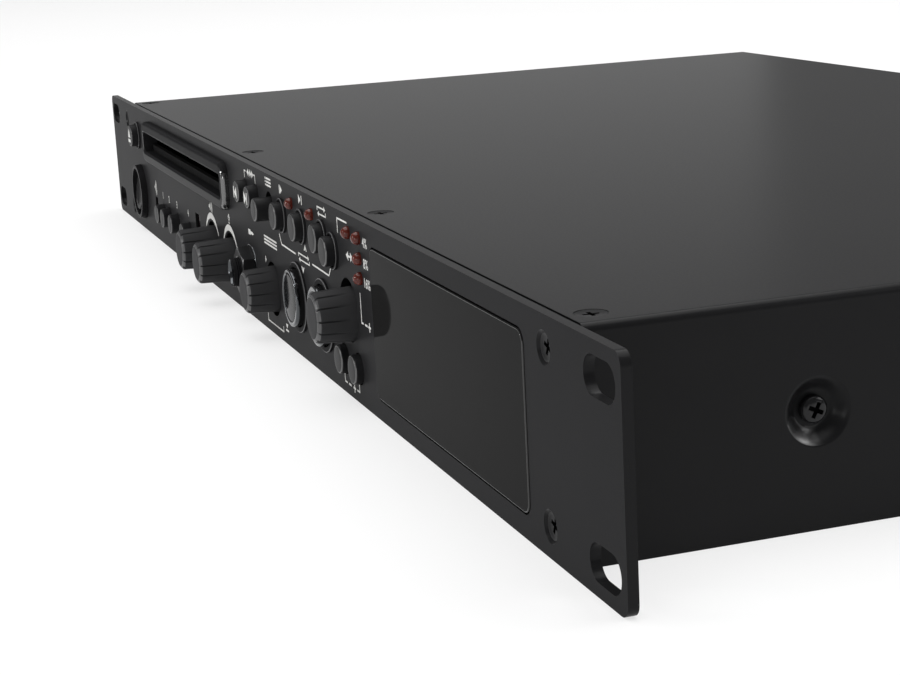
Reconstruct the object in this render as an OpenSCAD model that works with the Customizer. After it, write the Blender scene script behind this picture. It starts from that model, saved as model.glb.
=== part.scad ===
// One-unit rack-mount disc player with a slot-loading drive, in millimetres.
// X runs to the right, Y to the rear and Z up.
// The origin is the centre of the rack slots, on the rear face of the front panel.

/* [Front panel] */
// Width of the panel over both rack ears
panel_w = 482.6; // [480:0.1:490]
// Height of the panel
panel_h = 44; // [43.6:0.1:44.4]
// Thickness of the panel
panel_t = 2; // [1.8:0.1:3]
// Radius of the panel's corners
panel_corner_r = 2.6; // [0.5:0.1:3]
// Distance between the rack slots across the rack
rack_pitch_x = 465.1; // [464:0.1:466]
// Distance between the rack slots up the rack
rack_pitch_z = 31.75; // [31:0.05:32]
// Length of a rack slot, end to end
rack_slot_l = 13; // [8:0.5:14]
// Width of a rack slot
rack_slot_w = 7; // [6:0.1:8]
// Distance of the panel screws from the middle, sideways
panel_screw_x = 208.5; // [207:0.5:209]
// Distance of the panel screws from the middle, up and down
panel_screw_z = 16; // [14:0.5:16]

/* [Screws] */
// Shank radius of the case screws
screw_r = 1.5; // [1:0.1:1.7]
// Head radius of the countersunk screws
sunk_head_r = 3.1; // [2.6:0.1:3.2]
// Head radius of the pan-head screws
pan_head_r = 2.6; // [2.4:0.1:3]
// Head height of the pan-head screws
pan_head_h = 1.9; // [1.5:0.1:2.4]
// Length of a screw's shank behind its head
screw_l = 3.4; // [3:0.1:4]
// Width of the cross recess in a screw's head
recess_w = 0.8; // [0.5:0.1:1.2]
// Depth of the cross recess in a screw's head
recess_d = 0.9; // [0.5:0.1:1.2]
// Gap between a screw and its hole
screw_clear = 0.05; // [0.02:0.01:0.1]

/* [Case] */
// Width of the cover over its sides
case_w = 432; // [430:1:440]
// Depth of the case behind the panel
case_d = 253; // [245:1:300]
// Step from the panel's top edge down to the cover
case_drop = 1; // [0.5:0.1:1.2]
// Thickness of the case sheet
sheet_t = 1; // [0.8:0.1:1.2]
// Outer radius of the cover's bends
bend_r = 1.6; // [1.3:0.1:3]
// Gap between the panel and the cover's front edge
cover_gap = 2.3; // [1.6:0.1:2.6]
// Depth of the dimples pressed into the cover's sides
dimple_d = 2.6; // [1.6:0.1:3]
// Radius of a dimple at the cover's surface
dimple_r = 6.4; // [5.5:0.1:8]
// Radius of a dimple's flat floor
dimple_floor_r = 3.4; // [3.1:0.1:4]
// Distances of the side screws behind the panel
side_screw_y = [46.3, 208]; // [30:0.1:220]
// Places of the flush cover screws across the case
cover_screw_x = [-208.5, -43.5, 84.5, 208.5]; // [-209:0.5:209]
// Distance of the flush cover screws behind the panel
cover_screw_y = 7; // [5:0.5:9]
// Depth of the tray's top flanges
flange_d = 14; // [12:0.5:16]
// Height of the lip under the tray's front opening
frame_lip = 2; // [1.5:0.1:2.5]
// Width of the tabs at the ends of the tray's front frame
frame_tab = 11; // [10:0.5:14]
// Height of the tray's side walls above its floor
side_wall_h = 30; // [27:1:36]

/* [Disc slot] */
// Middle of the slot across the panel
slot_x = -103.5; // [-106:0.1:-101]
// Middle of the slot above the panel's middle
slot_z = 12.1; // [11.9:0.1:12.3]
// Width of the slot's mouth
slot_w = 124.5; // [122:0.1:126]
// Height of the slot's mouth
slot_h = 6.8; // [6.4:0.1:7.4]
// Width of the bezel round the slot
bezel_w = 131; // [129:0.1:134]
// Height of the bezel round the slot
bezel_h = 14; // [12:0.1:15]
// Distance that the bezel stands off the panel
bezel_out = 2.2; // [1:0.1:3]
// Corner radius of the bezel
bezel_r = 4.5; // [3:0.1:6]
// Slope width round the bezel's front edge
bezel_slope = 1.2; // [0.5:0.1:2]
// Wall of the sleeve that carries the bezel through the panel
sleeve_wall = 1.2; // [0.8:0.1:1.4]
// Length of the sleeve behind the panel
sleeve_l = 0.8; // [0.5:0.1:2]
// Height of the felt lip in the slot's mouth
felt_h = 2.2; // [1.5:0.1:2.3]
// Thickness of the felt lips
felt_t = 1.6; // [1:0.1:2]

/* [Mains switch] */
// Place of the switch across the panel
switch_x = -187.5; // [-189:0.1:-186]
// Height of the switch from the panel's middle
switch_z = -8.2; // [-9:0.1:-7.6]
// Outer radius of the switch's ring
switch_ring_r = 9.75; // [9.5:0.05:10.5]
// Distance that the ring stands off the panel
switch_out = 2.2; // [1.5:0.1:3]
// Radius of the switch's body behind the panel
switch_body_r = 9.2; // [9.1:0.05:9.3]
// Depth of the switch's body behind the panel
switch_body_d = 18; // [14:0.5:25]
// Radius of the cavity that holds the rocker
rocker_bore_r = 8.3; // [8:0.05:8.4]
// Distance of the rocker's pivot behind the panel's front
rocker_pivot_d = 3; // [2.5:0.1:4]
// Distance of the rocker's face in front of the panel
rocker_out = 1.3; // [0.5:0.1:1.5]
// Distance that the rocker reaches behind its pivot
rocker_back = 3; // [2:0.1:4]
// Tilt of the rocker from its middle
rocker_tilt = 7; // [4:0.5:9]
// Radius of the rocker's pivot pins
rocker_pin_r = 1; // [0.8:0.1:1.2]
// Radius of the hollow in the rocker's face
rocker_dish_r = 26; // [18:1:40]
// Depth of the hollow in the rocker's face
rocker_dish_d = 0.7; // [0.3:0.1:1]

/* [Keys] */
// Eject button: across, up, radius, height off the panel
eject = [-188, 12, 3.9, 3.2]; // [-200:0.1:20]
// Places of the small keys across the panel
key_x = [-147, -136.8, -123, -103.3]; // [-152:0.1:-98]
// Height of the small keys from the panel's middle
key_z = -10.7; // [-12:0.1:-9]
// Radius of the small keys
key_r = 3.2; // [2.5:0.1:3.6]
// Height of the small keys off the panel
key_out = 3.1; // [2:0.1:5]
// Places of the search keys across the panel
search_x = [-16.3, -3.8]; // [-20:0.1:2]
// Height of the search keys from the panel's middle
search_z = 14; // [13:0.1:14.4]
// Radius of the search keys
search_r = 3.1; // [2.8:0.1:3.5]
// Height of the search keys off the panel
search_out = 3; // [2:0.1:5]
// Mode key: across, up, radius, height off the panel
mode_key = [11.5, 12.8, 3.15, 4.6]; // [2:0.05:20]
// Radius of the mode key's hole
mode_hole_r = 4; // [3.6:0.1:4.1]
// Height of that hole's middle over the key's
mode_hole_lift = 0.6; // [0:0.1:0.8]
// Width of the flange that keeps the mode key in the panel
mode_flange_w = 1.6; // [1.4:0.05:1.7]
// Places of the loop keys across the panel
loop_x = [25.4, 45.1, 64.9, 74.1]; // [20:0.1:78]
// Heights of the loop keys from the panel's middle
loop_z = [12.9, 12.9, 13.1, 11.4]; // [10:0.1:14]
// Radius of the loop keys
loop_r = 3.6; // [3.2:0.05:3.7]
// Height of the loop keys off the panel
loop_out = 3; // [2:0.1:5]
// Width of the collar round an eject or loop key
collar_w = 0.6; // [0.3:0.05:0.65]
// Thickness of the collars
collar_t = 0.75; // [0.3:0.05:1]
// Places of the cue and play buttons across the panel
cue_x = [37.2, 62]; // [35:0.1:64]
// Height of the cue and play buttons from the panel's middle
cue_z = -6.4; // [-7:0.1:-6]
// Radius of the cue and play buttons
cue_r = 7.4; // [6.5:0.1:7.6]
// Height of the cue and play buttons off the panel
cue_out = 2.6; // [2:0.1:4]
// Radius of the sunk field in a cue or play button's face
cue_field_r = 6.1; // [5:0.1:6.4]
// Depth of the sunk field in a cue or play button's face
cue_field_d = 0.4; // [0.2:0.1:0.8]
// Width of the ring round a cue or play button
cue_ring_w = 1.4; // [0.8:0.1:1.8]
// Thickness of that ring
cue_ring_t = 0.7; // [0.4:0.1:1.2]
// Places of the pitch bend keys across the panel
bend_x = [78.6, 90.4]; // [76:0.1:93]
// Height of the pitch bend keys from the panel's middle
bend_z = -13.6; // [-14.2:0.1:-13]
// Radius of the pitch bend keys
bend_key_r = 3.5; // [3:0.1:3.7]
// Height of the pitch bend keys off the panel
bend_out = 2; // [1.5:0.1:4]
// Gap between a key and its hole
key_clear = 0.3; // [0.25:0.01:0.35]
// Slope width round a key's face
key_slope = 0.4; // [0.2:0.1:0.8]
// Travel of a key
key_travel = 0.5; // [0.3:0.1:0.6]
// Gap left between a pressed key and what is behind it
press_gap = 0.3; // [0.3:0.05:0.5]
// Width of the flange that keeps a key in the panel
key_flange_w = 0.6; // [0.5:0.05:0.65]
// Thickness of that flange
key_flange_t = 0.8; // [0.5:0.1:1.2]
// Radius of a key's stem
key_stem_r = 1.4; // [1:0.1:1.6]

/* [Knobs] */
// Places of the two level knobs across the panel
knob_x = [-67, -42]; // [-70:0.1:-39]
// Height of the level knobs from the panel's middle
knob_z = -9.6; // [-10:0.1:-9]
// Front radius of the level knobs
knob_r = 6; // [5.5:0.1:6.4]
// Height of the level knobs off the panel
knob_out = 10.7; // [8:0.1:14]
// Place of the encoder knob across the panel
encoder_x = 9.5; // [8:0.1:11]
// Height of the encoder knob from the panel's middle
encoder_z = -9.2; // [-10:0.1:-9]
// Front radius of the encoder knob
encoder_r = 5.8; // [5.5:0.1:6.4]
// Height of the encoder knob off the panel
encoder_out = 8.3; // [7:0.1:12]
// Place of the pitch knob across the panel
pitch_x = 84.5; // [83:0.1:85]
// Height of the pitch knob from the panel's middle
pitch_z = -1.8; // [-2:0.1:-1]
// Front radius of the pitch knob
pitch_r = 6; // [5.5:0.1:6.4]
// Height of the pitch knob off the panel
pitch_out = 9; // [7:0.1:12]
// Extra radius of a knob at its foot
knob_flare = 0.45; // [0.2:0.05:0.5]
// Slope width round a knob's face
knob_slope = 1.1; // [0.4:0.1:1.5]
// Number of flutes round a knob
flute_count = 12; // [8:1:16]
// Radius of a flute
flute_r = 0.7; // [0.4:0.05:0.9]
// Plain foot of a knob below its flutes
knob_foot = 2.6; // [2:0.1:4]
// Depth of a knob's foot below the panel's face
knob_sink = 1.2; // [0.6:0.1:1.6]
// Gap between a knob and its hole in the panel
knob_clear = 1.1; // [1:0.05:1.2]
// Heights of the four knobs' holes over the knobs, from the left
knob_hole_lift = [0.3, 0.3, 0, 0.9]; // [0:0.1:0.9]
// Radius of a knob's stem
stem_r = 3; // [2.5:0.1:3.2]
// Depth that a stem enters its potentiometer
stem_in = 3; // [2:0.1:3.5]
// Running gap between a shaft and its bore
shaft_clear = 0.05; // [0.03:0.01:0.08]
// Width of a potentiometer's body
pot_w = 11; // [9:0.5:12]

/* [Jack] */
// Place of the jack across the panel
jack_x = -15.5; // [-17:0.1:-14]
// Height of the jack from the panel's middle
jack_z = -8.4; // [-9:0.1:-8.2]
// Radius of the jack's bore
jack_bore_r = 3.25; // [3.2:0.01:3.3]
// Radius of the jack's threaded neck
jack_neck_r = 4.1; // [3.9:0.1:4.6]
// Distance that the neck stands off the panel
jack_out = 6; // [5:0.1:8]
// Corner radius of the hex nut
nut_r = 7.05; // [6.4:0.05:7.2]
// Thickness of the hex nut
nut_t = 3.5; // [2:0.1:4]
// Turn of the hex nut from corner up
nut_turn = 7; // [0:1:60]
// Radius of the washer under the nut
washer_r = 7.5; // [7:0.1:7.8]
// Thickness of the washer
washer_t = 0.3; // [0.2:0.1:1]
// Width and height of the jack's housing
jack_house_w = 15; // [13:0.5:16]
// Depth of the jack's housing behind the panel
jack_house_d = 24; // [20:1:30]

/* [Lamps] */
// Places of the lamps across the panel
led_x = [35.5, 55.5, 88, 96.3, 96.3, 96.3]; // [30:0.1:98]
// Heights of the lamps from the panel's middle
led_z = [17.4, 17.4, 17.8, 17.8, 13.1, 8.6]; // [7:0.1:18]
// Radius of a lamp
led_r = 1.5; // [1:0.1:1.6]
// Distance that a lamp stands off the panel
led_out = 1.8; // [1.2:0.1:2.5]
// Length of a lamp's body behind the panel
led_back = 2; // [1:0.1:4]
// Width of a lamp's legs
led_leg_w = 0.5; // [0.4:0.1:0.7]
// Places of the two sensor windows across the panel
sensor_x = [-160.3, -88.7]; // [-162:0.1:-87]
// Heights of the two sensor windows from the panel's middle
sensor_z = [-9.9, -5.8]; // [-11:0.1:-5]
// Widths of the two sensor windows
sensor_w = [4.6, 7]; // [4:0.1:7.5]
// Height of the sensor windows
sensor_h = 6.2; // [5:0.1:7]
// Distance that a sensor window's face lies below the panel's
sensor_sunk = 0.6; // [0.2:0.1:1]

/* [Display] */
// Middle of the display window across the panel
window_x = 151.7; // [151:0.1:152.4]
// Width of the display window
window_w = 94; // [90:0.5:95]
// Height of the display window
window_h = 34; // [32:0.5:34.4]
// Corner radius of the display window
window_r = 2.6; // [1:0.1:4]
// Gap between the window and the panel
window_gap = 0.4; // [0.3:0.1:0.6]
// Distance that the window stands off the panel
window_out = 0.2; // [0.1:0.1:0.5]
// Width of the window's rim behind the panel
window_rim_w = 1; // [0.8:0.1:1.4]
// Thickness of that rim
window_rim_t = 1.2; // [0.8:0.1:2]
// Depth of the display module
module_d = 8; // [6:0.5:12]

/* [Boards] */
// Thickness of the circuit boards
board_t = 1.6; // [1:0.1:2]
// Distance of the control board behind the panel
board_y = 11; // [10:0.5:12]
// Width of a key switch's body
switch_w = 6; // [5:0.1:6.2]
// Depth of a key switch's body
switch_d = 4; // [3.5:0.1:4.5]
// Radius of a key switch's cap
cap_r = 1.7; // [1.5:0.1:2]
// Depth of a key switch's cap
cap_d = 1; // [0.6:0.1:1.2]
// Places of the control board's studs across the panel
stud_x = [-199, -170, -113, -29, 22, 99.8, -24.4, 99.8]; // [-200:0.1:100]
// Heights of the control board's studs from the panel's middle
stud_z = [15.5, -16.4, -16.4, -16.4, -16.4, -16.4, 5, 2.4]; // [-17:0.1:16]
// Left end of the main board
main_x = 0; // [-5:1:10]
// Width of the main board
main_w = 130; // [120:1:135]
// Distance of the main board behind the panel
main_y = 75; // [70:1:85]
// Depth of the main board
main_d = 140; // [130:1:145]
// Height of the main board above the tray's floor
main_lift = 5; // [4:0.5:8]
// Radius of a standoff
post_r = 2.4; // [2:0.1:2.6]
// Inset of the standoffs from the main board's edges
post_inset = 5; // [4:0.5:8]
// Radius of a smoothing capacitor
can_r = 6; // [4:0.5:7]
// Height of a smoothing capacitor
can_h = 20; // [12:1:24]
// Number of smoothing capacitors
can_count = 4; // [2:1:5]
// Number of chips on the main board
chip_count = 3; // [1:1:3]
// Number of fins on the main board's heat sink
fin_count = 6; // [3:1:8]
// Width of the transformer
trafo_w = 52; // [44:1:56]
// Depth of the transformer
trafo_d = 44; // [36:1:50]
// Height of the transformer
trafo_h = 34; // [28:1:36]

/* [Drive] */
// Distance of the loading roller behind the panel
roller_y = 21; // [20:0.5:22]
// Radius of the loading roller at its ends
roller_r = 3.6; // [3:0.1:3.8]
// Radius of the loading roller at its waist
roller_waist_r = 3.1; // [2.8:0.1:3.2]
// Width of the loading roller
roller_w = 122; // [118:0.5:124]
// Radius of the roller's shaft
roller_shaft_r = 1.25; // [1:0.05:1.5]
// Length of the roller's shaft inside its gearbox
roller_in = 6; // [4:0.5:7]
// Width of the roller's gearbox
gear_w = 8; // [7.5:0.5:9]
// Length of the loading motor's can
loader_l = 16; // [10:0.5:18]
// Radius of the loading motor's can
loader_r = 6; // [5:0.1:6.5]
// Distance of the loading motor's axis behind the roller
loader_back = 7; // [6:0.1:8]
// Distance of the drive's cheeks in front of the roller's axis
cheek_front = 6; // [5:0.1:6.5]
// Gap between the roller's axis and the deck's front edge
deck_front = 5; // [4.5:0.1:6]
// Gap between the roller and the disc's path
roller_drop = 0.6; // [0.4:0.1:1]
// Radius of the disc that the drive takes
disc_r = 60; // [59:0.5:60.5]
// Gap between a loaded disc and the loading roller
disc_gap = 5; // [4:0.5:6]
// Width of the drive's deck
deck_w = 140; // [136:1:141]
// Thickness of the drive's deck
deck_t = 1.2; // [1:0.1:1.6]
// Distance of the deck's underside below the slot's middle
deck_drop = 7.1; // [6.8:0.1:7.3]
// Thickness of the drive's side cheeks and top plate
cheek_t = 1.2; // [1:0.1:1.3]
// Height of the drive's top plate above the slot's middle
top_rise = 3.8; // [3.7:0.1:4]
// Depth of the deck behind the disc's middle
deck_back = 80; // [78:1:90]
// Radius of the turntable
platter_r = 14; // [12:0.5:15]
// Thickness of the turntable
platter_t = 2.4; // [2:0.1:2.8]
// Height of the turntable's centring cone
cone_h = 1; // [0.6:0.1:1.2]
// Lower radius of the centring cone
cone_r = 7.3; // [7:0.1:7.4]
// Radius of the spindle
spindle_r = 1; // [0.8:0.05:1.2]
// Radius of the spindle motor
motor_r = 12; // [10:0.5:12.5]
// Radius of the deck's hole round the spindle
spindle_hole_r = 3; // [2:0.1:5]
// Height of the spindle motor
motor_h = 13; // [10:0.5:16]
// Radius of the guide rods and the lead screw
rod_r = 1.5; // [1.2:0.05:1.8]
// Distance of the guide rods from the drive's middle
rail_x = 17; // [16:0.5:18]
// Distance of the lead screw from the drive's middle
lead_x = 27; // [26.5:0.5:29]
// Distance of the rods below the deck
rod_drop = 5; // [4.5:0.1:6]
// Thickness of the lugs that hold the rods
lug_t = 3; // [2:0.1:4]
// Half the width of those lugs
lug_half_w = 3; // [2.5:0.1:3.2]
// Radius of the feed motor
feed_r = 4.4; // [4:0.1:4.6]
// Length of the feed motor
feed_l = 18; // [12:0.5:24]
// Length of the lead screw inside the feed motor
feed_in = 6; // [4:0.5:8]
// Distance of the pickup from the spindle at rest
pickup_in = 23; // [22:0.5:24]
// Travel of the pickup
pickup_travel = 35; // [30:0.5:36]
// Depth of the pickup's carriage
sled_d = 18; // [16:0.5:18]
// Half the thickness of the pickup's carriage
sled_half_t = 4; // [3.5:0.1:4.2]
// Radius of the pickup's lens barrel
lens_r = 5; // [4:0.1:5.5]
// Radius of the clamp's puck
puck_r = 12.5; // [11:0.5:13]
// Gap round the puck in the drive's top plate
puck_room = 3; // [2:0.1:4]
// Gap between the clamp and the disc's path
puck_gap = 0.3; // [0.2:0.05:0.35]
// Width of the clamp's arm
arm_w = 12; // [10:0.5:14]
// Distance of the top plate's window from the clamp's pivot
arm_window = 6; // [5:0.5:10]
// Thickness of the clamp's arm
arm_t = 1.2; // [1:0.1:1.4]
// Radius of the barrel at the clamp arm's pivot
barrel_r = 1.1; // [1:0.05:1.2]
// Radius of the clamp's pivot pins
pivot_r = 0.8; // [0.6:0.05:0.9]

/* [Rear] */
// Places of the phono sockets across the rear
rca_x = [30, 44, 70]; // [20:1:90]
// Height of the phono sockets from the panel's middle
rca_z = 0; // [-4:0.5:4]
// Outer radius of a phono socket
rca_r = 4.15; // [4:0.05:4.2]
// Bore radius of a phono socket
rca_bore_r = 1.65; // [1.5:0.05:1.8]
// Length of a phono socket outside the case
rca_out = 9; // [8:0.1:10]
// Radius of the insulating washer behind a phono socket
rca_washer_r = 6; // [5:0.1:6.5]
// Thickness of that washer
rca_washer_t = 1; // [0.8:0.1:2]
// Place of the mains inlet across the rear
inlet_x = 175; // [165:1:180]
// Width of the mains inlet's recess
inlet_w = 24.4; // [24:0.1:25]
// Height of the mains inlet's recess
inlet_h = 16.6; // [16:0.1:17]
// Depth of the mains inlet's recess
inlet_d = 17; // [16:0.1:18]
// Wall of the mains inlet
inlet_wall = 1.6; // [1:0.1:2]
// Width of the inlet's rim on the rear wall
inlet_rim = 3; // [2:0.1:4]
// Thickness of that rim
inlet_rim_t = 2.4; // [1.5:0.1:3]
// Length of the inlet's contact blades
blade_l = 12; // [10:0.1:13]

/* [Hidden] */
$fn = 48;

black = "#1b1c1e";
soft_black = "#26272a";
steel = "#9a9da1";
chrome = "#d4d7da";
board_green = "#1f4a34";

// Planes shared by the pieces
front_y = -panel_t;
base_z = -panel_h / 2;
case_top = panel_h / 2 - case_drop;
floor_z = base_z + sheet_t;
flange_top = case_top - sheet_t;
tray_half_w = case_w / 2 - sheet_t - dimple_d;
side_half_w = case_w / 2;
rear_half_w = side_half_w - bend_r;
wall_y = case_d - sheet_t;
flange_under = flange_top - sheet_t;
sleeve_room = 2 * (sleeve_wall + screw_clear);
eps = 0.01;

// Drive levels, all taken from the slot's middle
deck_z = slot_z - deck_drop;
deck_top_z = deck_z + deck_t;
path_top_z = slot_z + slot_h / 2;
path_low_z = slot_z - slot_h / 2 + felt_h + press_gap;
platter_top_z = path_low_z - cone_h;
drive_top_z = slot_z + top_rise;
roller_z = path_low_z - roller_drop - roller_r;
disc_y = roller_y + disc_gap + disc_r;
cheek_y = roller_y - cheek_front;
deck_y = roller_y + deck_front;
deck_end = disc_y + deck_back;
cheek_x = deck_w / 2 - cheek_t;
rail_z = deck_z - rod_drop;
lug_y = disc_y + pickup_in - sled_d / 2 - lug_t - press_gap;
rear_lug_y = disc_y + pickup_in + pickup_travel + sled_d / 2 + 2 * press_gap;
pivot_y = deck_end - 2 * barrel_r - press_gap;
pivot_z = drive_top_z + cheek_t + barrel_r + press_gap;
arm_z = pivot_z - arm_t / 2;
ear_gap = arm_w / 2 + press_gap;
post_x = deck_w / 2 - cheek_t - post_inset;
post_y = [deck_y + post_inset, deck_end - post_inset];

// Keys of the panel: across, up, radius of the hole, lift of the hole over the key
key_holes = [
  [eject[0], eject[1], eject[2] + key_clear, 0],
  for (x = key_x) [x, key_z, key_r + key_clear, 0],
  for (x = search_x) [x, search_z, search_r + key_clear, 0],
  [mode_key[0], mode_key[1], mode_hole_r, mode_hole_lift],
  for (i = [0 : len(loop_x) - 1]) [loop_x[i], loop_z[i], loop_r + key_clear, 0],
  for (x = cue_x) [x, cue_z, cue_r + key_clear, 0],
  for (x = bend_x) [x, bend_z, bend_key_r + key_clear, 0]
];
pot_places = [
  for (x = knob_x) [x, knob_z],
  [encoder_x, encoder_z],
  [pitch_x, pitch_z]
];
knob_radii = [knob_r, knob_r, encoder_r, pitch_r];
knob_foot_y = front_y + knob_sink;
switch_cap_y = board_y - switch_d - cap_d;
stem_end_y = switch_cap_y - key_travel - press_gap;
pot_y = board_y - pot_w * 2 / 3;
stem_tip_y = pot_y + stem_in;
inlet_half = [inlet_w / 2 + inlet_wall, inlet_h / 2 + inlet_wall];

// Extrudes a drawing in X and Z from one depth to another
module along_y(y0, y1) {
  translate([0, y1, 0])
    rotate([90, 0, 0])
      linear_extrude(y1 - y0)
        children();
}

module rod_y(place, y0, y1, r) {
  translate([place[0], y1, place[1]])
    rotate([90, 0, 0])
      cylinder(h = y1 - y0, r = r);
}

// A cone from radius r0 at depth y0 to radius r1 at depth y1
module cone_y(place, y0, y1, r0, r1) {
  translate([place[0], y1, place[1]])
    rotate([90, 0, 0])
      cylinder(h = y1 - y0, r1 = r1, r2 = r0);
}

module rod_x(x0, x1, y, z, r) {
  translate([x0, y, z])
    rotate([0, 90, 0])
      cylinder(h = x1 - x0, r = r);
}

module rod_z(x, y, z0, z1, r) {
  translate([x, y, z0])
    cylinder(h = z1 - z0, r = r);
}

module block(low, high) {
  translate(low)
    cube(high - low);
}

module rounded_rect(w, h, r) {
  square([w - 2 * r, h], center = true);
  square([w, h - 2 * r], center = true);
  for (sx = [-1, 1], sz = [-1, 1])
    translate([sx * (w / 2 - r), sz * (h / 2 - r)])
      circle(r);
}

module stadium(l, w) {
  square([l - w, w], center = true);
  for (side = [-1, 1])
    translate([side * (l - w) / 2, 0])
      circle(w / 2);
}

module cross_recess(r) {
  for (turn = [0, 90])
    rotate([0, 0, turn])
      translate([-r, -recess_w / 2, -recess_d])
        cube([2 * r, recess_w, recess_d + eps]);
}

// A countersunk screw with its face at the origin, pointing down
module sunk_screw() {
  cone_l = sunk_head_r - screw_r;
  difference() {
    union() {
      translate([0, 0, -cone_l])
        cylinder(h = cone_l, r1 = screw_r, r2 = sunk_head_r);
      translate([0, 0, -cone_l - screw_l])
        cylinder(h = screw_l + eps, r = screw_r);
    }
    cross_recess(sunk_head_r / 2);
  }
}

// The hole for a countersunk screw, with its mouth at the origin
module sunk_hole(depth) {
  cone_l = sunk_head_r - screw_r;
  translate([0, 0, -cone_l])
    cylinder(h = cone_l + eps, r1 = screw_r + screw_clear, r2 = sunk_head_r + screw_clear + eps);
  translate([0, 0, -depth - eps])
    cylinder(h = depth + eps, r = screw_r + screw_clear);
}

// A pan-head screw with the underside of its head at the origin, pointing down
module pan_screw(length) {
  rim = pan_head_h / 2;
  difference() {
    union() {
      cylinder(h = rim, r = pan_head_r);
      translate([0, 0, rim])
        cylinder(h = pan_head_h - rim, r1 = pan_head_r, r2 = pan_head_r - rim);
      translate([0, 0, -length])
        cylinder(h = length + eps, r = screw_r);
    }
    translate([0, 0, pan_head_h])
      cross_recess(pan_head_r / 2);
  }
}

module at_panel_screws() {
  for (sx = [-1, 1], sz = [-1, 1])
    translate([sx * panel_screw_x, front_y, sz * panel_screw_z])
      rotate([90, 0, 0])
        children();
}

module at_cover_screws() {
  for (x = cover_screw_x)
    translate([x, cover_screw_y, case_top])
      children();
}

module at_side_screws() {
  for (side = [0, 1], y = side_screw_y)
    mirror([side, 0, 0])
      translate([side_half_w - dimple_d, y, 0])
        rotate([0, 90, 0])
          children();
}

// A push button: cap through the panel, flange behind it and stem to its switch
module push_button(place, r, out, flange_w = key_flange_w) {
  cap_y = front_y - out;
  cone_y(place, cap_y, cap_y + key_slope, r - key_slope, r);
  rod_y(place, cap_y + key_slope - eps, press_gap + eps, r);
  rod_y(place, press_gap, press_gap + key_flange_t, r + flange_w);
  rod_y(place, press_gap + key_flange_t - eps, stem_end_y, key_stem_r);
}

module cue_cap(place) {
  difference() {
    push_button(place, cue_r, cue_out);
    rod_y(place, front_y - cue_out - eps, front_y - cue_out + cue_field_d, cue_field_r);
  }
}

// A fluted knob from its foot in the panel's hole to its face
module knob_head(place, r, out) {
  face_y = front_y - out;
  difference() {
    union() {
      cone_y(place, face_y, face_y + knob_slope, r - knob_slope, r);
      cone_y(place, face_y + knob_slope - eps, knob_foot_y, r, r + knob_flare);
    }
    for (i = [0 : flute_count - 1])
      let (turn = i * 360 / flute_count)
        translate([place[0], 0, place[1]])
          rotate([0, turn, 0])
            rod_y([r + flute_r / 2, 0], face_y - eps, knob_foot_y - knob_foot, flute_r);
  }
}

module stemmed_knob(place, r, out) {
  knob_head(place, r, out);
  rod_y(place, knob_foot_y - eps, stem_tip_y, stem_r);
}

module front_panel() {
  color(black)
    difference() {
      along_y(front_y, 0)
        difference() {
          rounded_rect(panel_w, panel_h, panel_corner_r);
          for (sx = [-1, 1], sz = [-1, 1])
            translate([sx * rack_pitch_x / 2, sz * rack_pitch_z / 2])
              stadium(rack_slot_l, rack_slot_w);
          translate([slot_x, slot_z])
            square([slot_w + sleeve_room, slot_h + sleeve_room], center = true);
          translate([switch_x, switch_z])
            circle(switch_body_r + screw_clear);
          for (hole = key_holes)
            translate([hole[0], hole[1] + hole[3]])
              circle(hole[2]);
          for (i = [0 : len(pot_places) - 1])
            translate(pot_places[i] + [0, knob_hole_lift[i]])
              circle(knob_radii[i] + knob_flare + knob_clear);
          translate([jack_x, jack_z])
            circle(jack_neck_r + screw_clear);
          for (i = [0 : len(led_x) - 1])
            translate([led_x[i], led_z[i]])
              circle(led_r + screw_clear);
          for (i = [0 : len(sensor_x) - 1])
            translate([sensor_x[i], sensor_z[i]])
              square([sensor_w[i] + 2 * screw_clear, sensor_h + 2 * screw_clear], center = true);
          translate([window_x, 0])
            rounded_rect(window_w + 2 * window_gap, window_h + 2 * window_gap, window_r + window_gap);
        }
      at_panel_screws()
        sunk_hole(panel_t);
    }
}

module panel_screws() {
  color(soft_black)
    at_panel_screws()
      sunk_screw();
}

module chassis_tray() {
  color(soft_black)
    difference() {
      union() {
        block([-tray_half_w, 0, base_z], [tray_half_w, case_d, floor_z]);
        along_y(0, sheet_t)
          difference() {
            translate([-tray_half_w, base_z])
              square([2 * tray_half_w, flange_top - base_z]);
            translate([-tray_half_w + frame_tab, base_z + frame_lip])
              square([2 * (tray_half_w - frame_tab), flange_under - base_z - frame_lip]);
          }
        block([-tray_half_w, 0, flange_under], [tray_half_w, flange_d, flange_top]);
        for (side = [0, 1])
          mirror([side, 0, 0])
            block([tray_half_w - sheet_t, 0, base_z], [tray_half_w, case_d, floor_z + side_wall_h]);
        block([-rear_half_w, wall_y, base_z], [rear_half_w, case_d, flange_top]);
        block([-tray_half_w, case_d - flange_d, flange_under], [tray_half_w, case_d, flange_top]);
      }
      at_panel_screws()
        translate([0, 0, -panel_t - screw_l])
          cylinder(h = screw_l, r = screw_r + screw_clear);
      at_cover_screws()
        sunk_hole(sheet_t + screw_l);
      at_side_screws()
        translate([0, 0, -sheet_t - screw_l])
          cylinder(h = screw_l, r = screw_r + screw_clear);
      for (i = [0 : len(led_x) - 1])
        rod_y([led_x[i], led_z[i]], -eps, led_back + press_gap, led_r + press_gap);
      along_y(wall_y - eps, case_d + eps) {
        for (x = rca_x)
          translate([x, rca_z])
            circle(rca_r + screw_clear);
        translate([inlet_x, rca_z])
          square([2 * (inlet_half[0] + screw_clear), 2 * (inlet_half[1] + screw_clear)], center = true);
      }
    }
}

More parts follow.
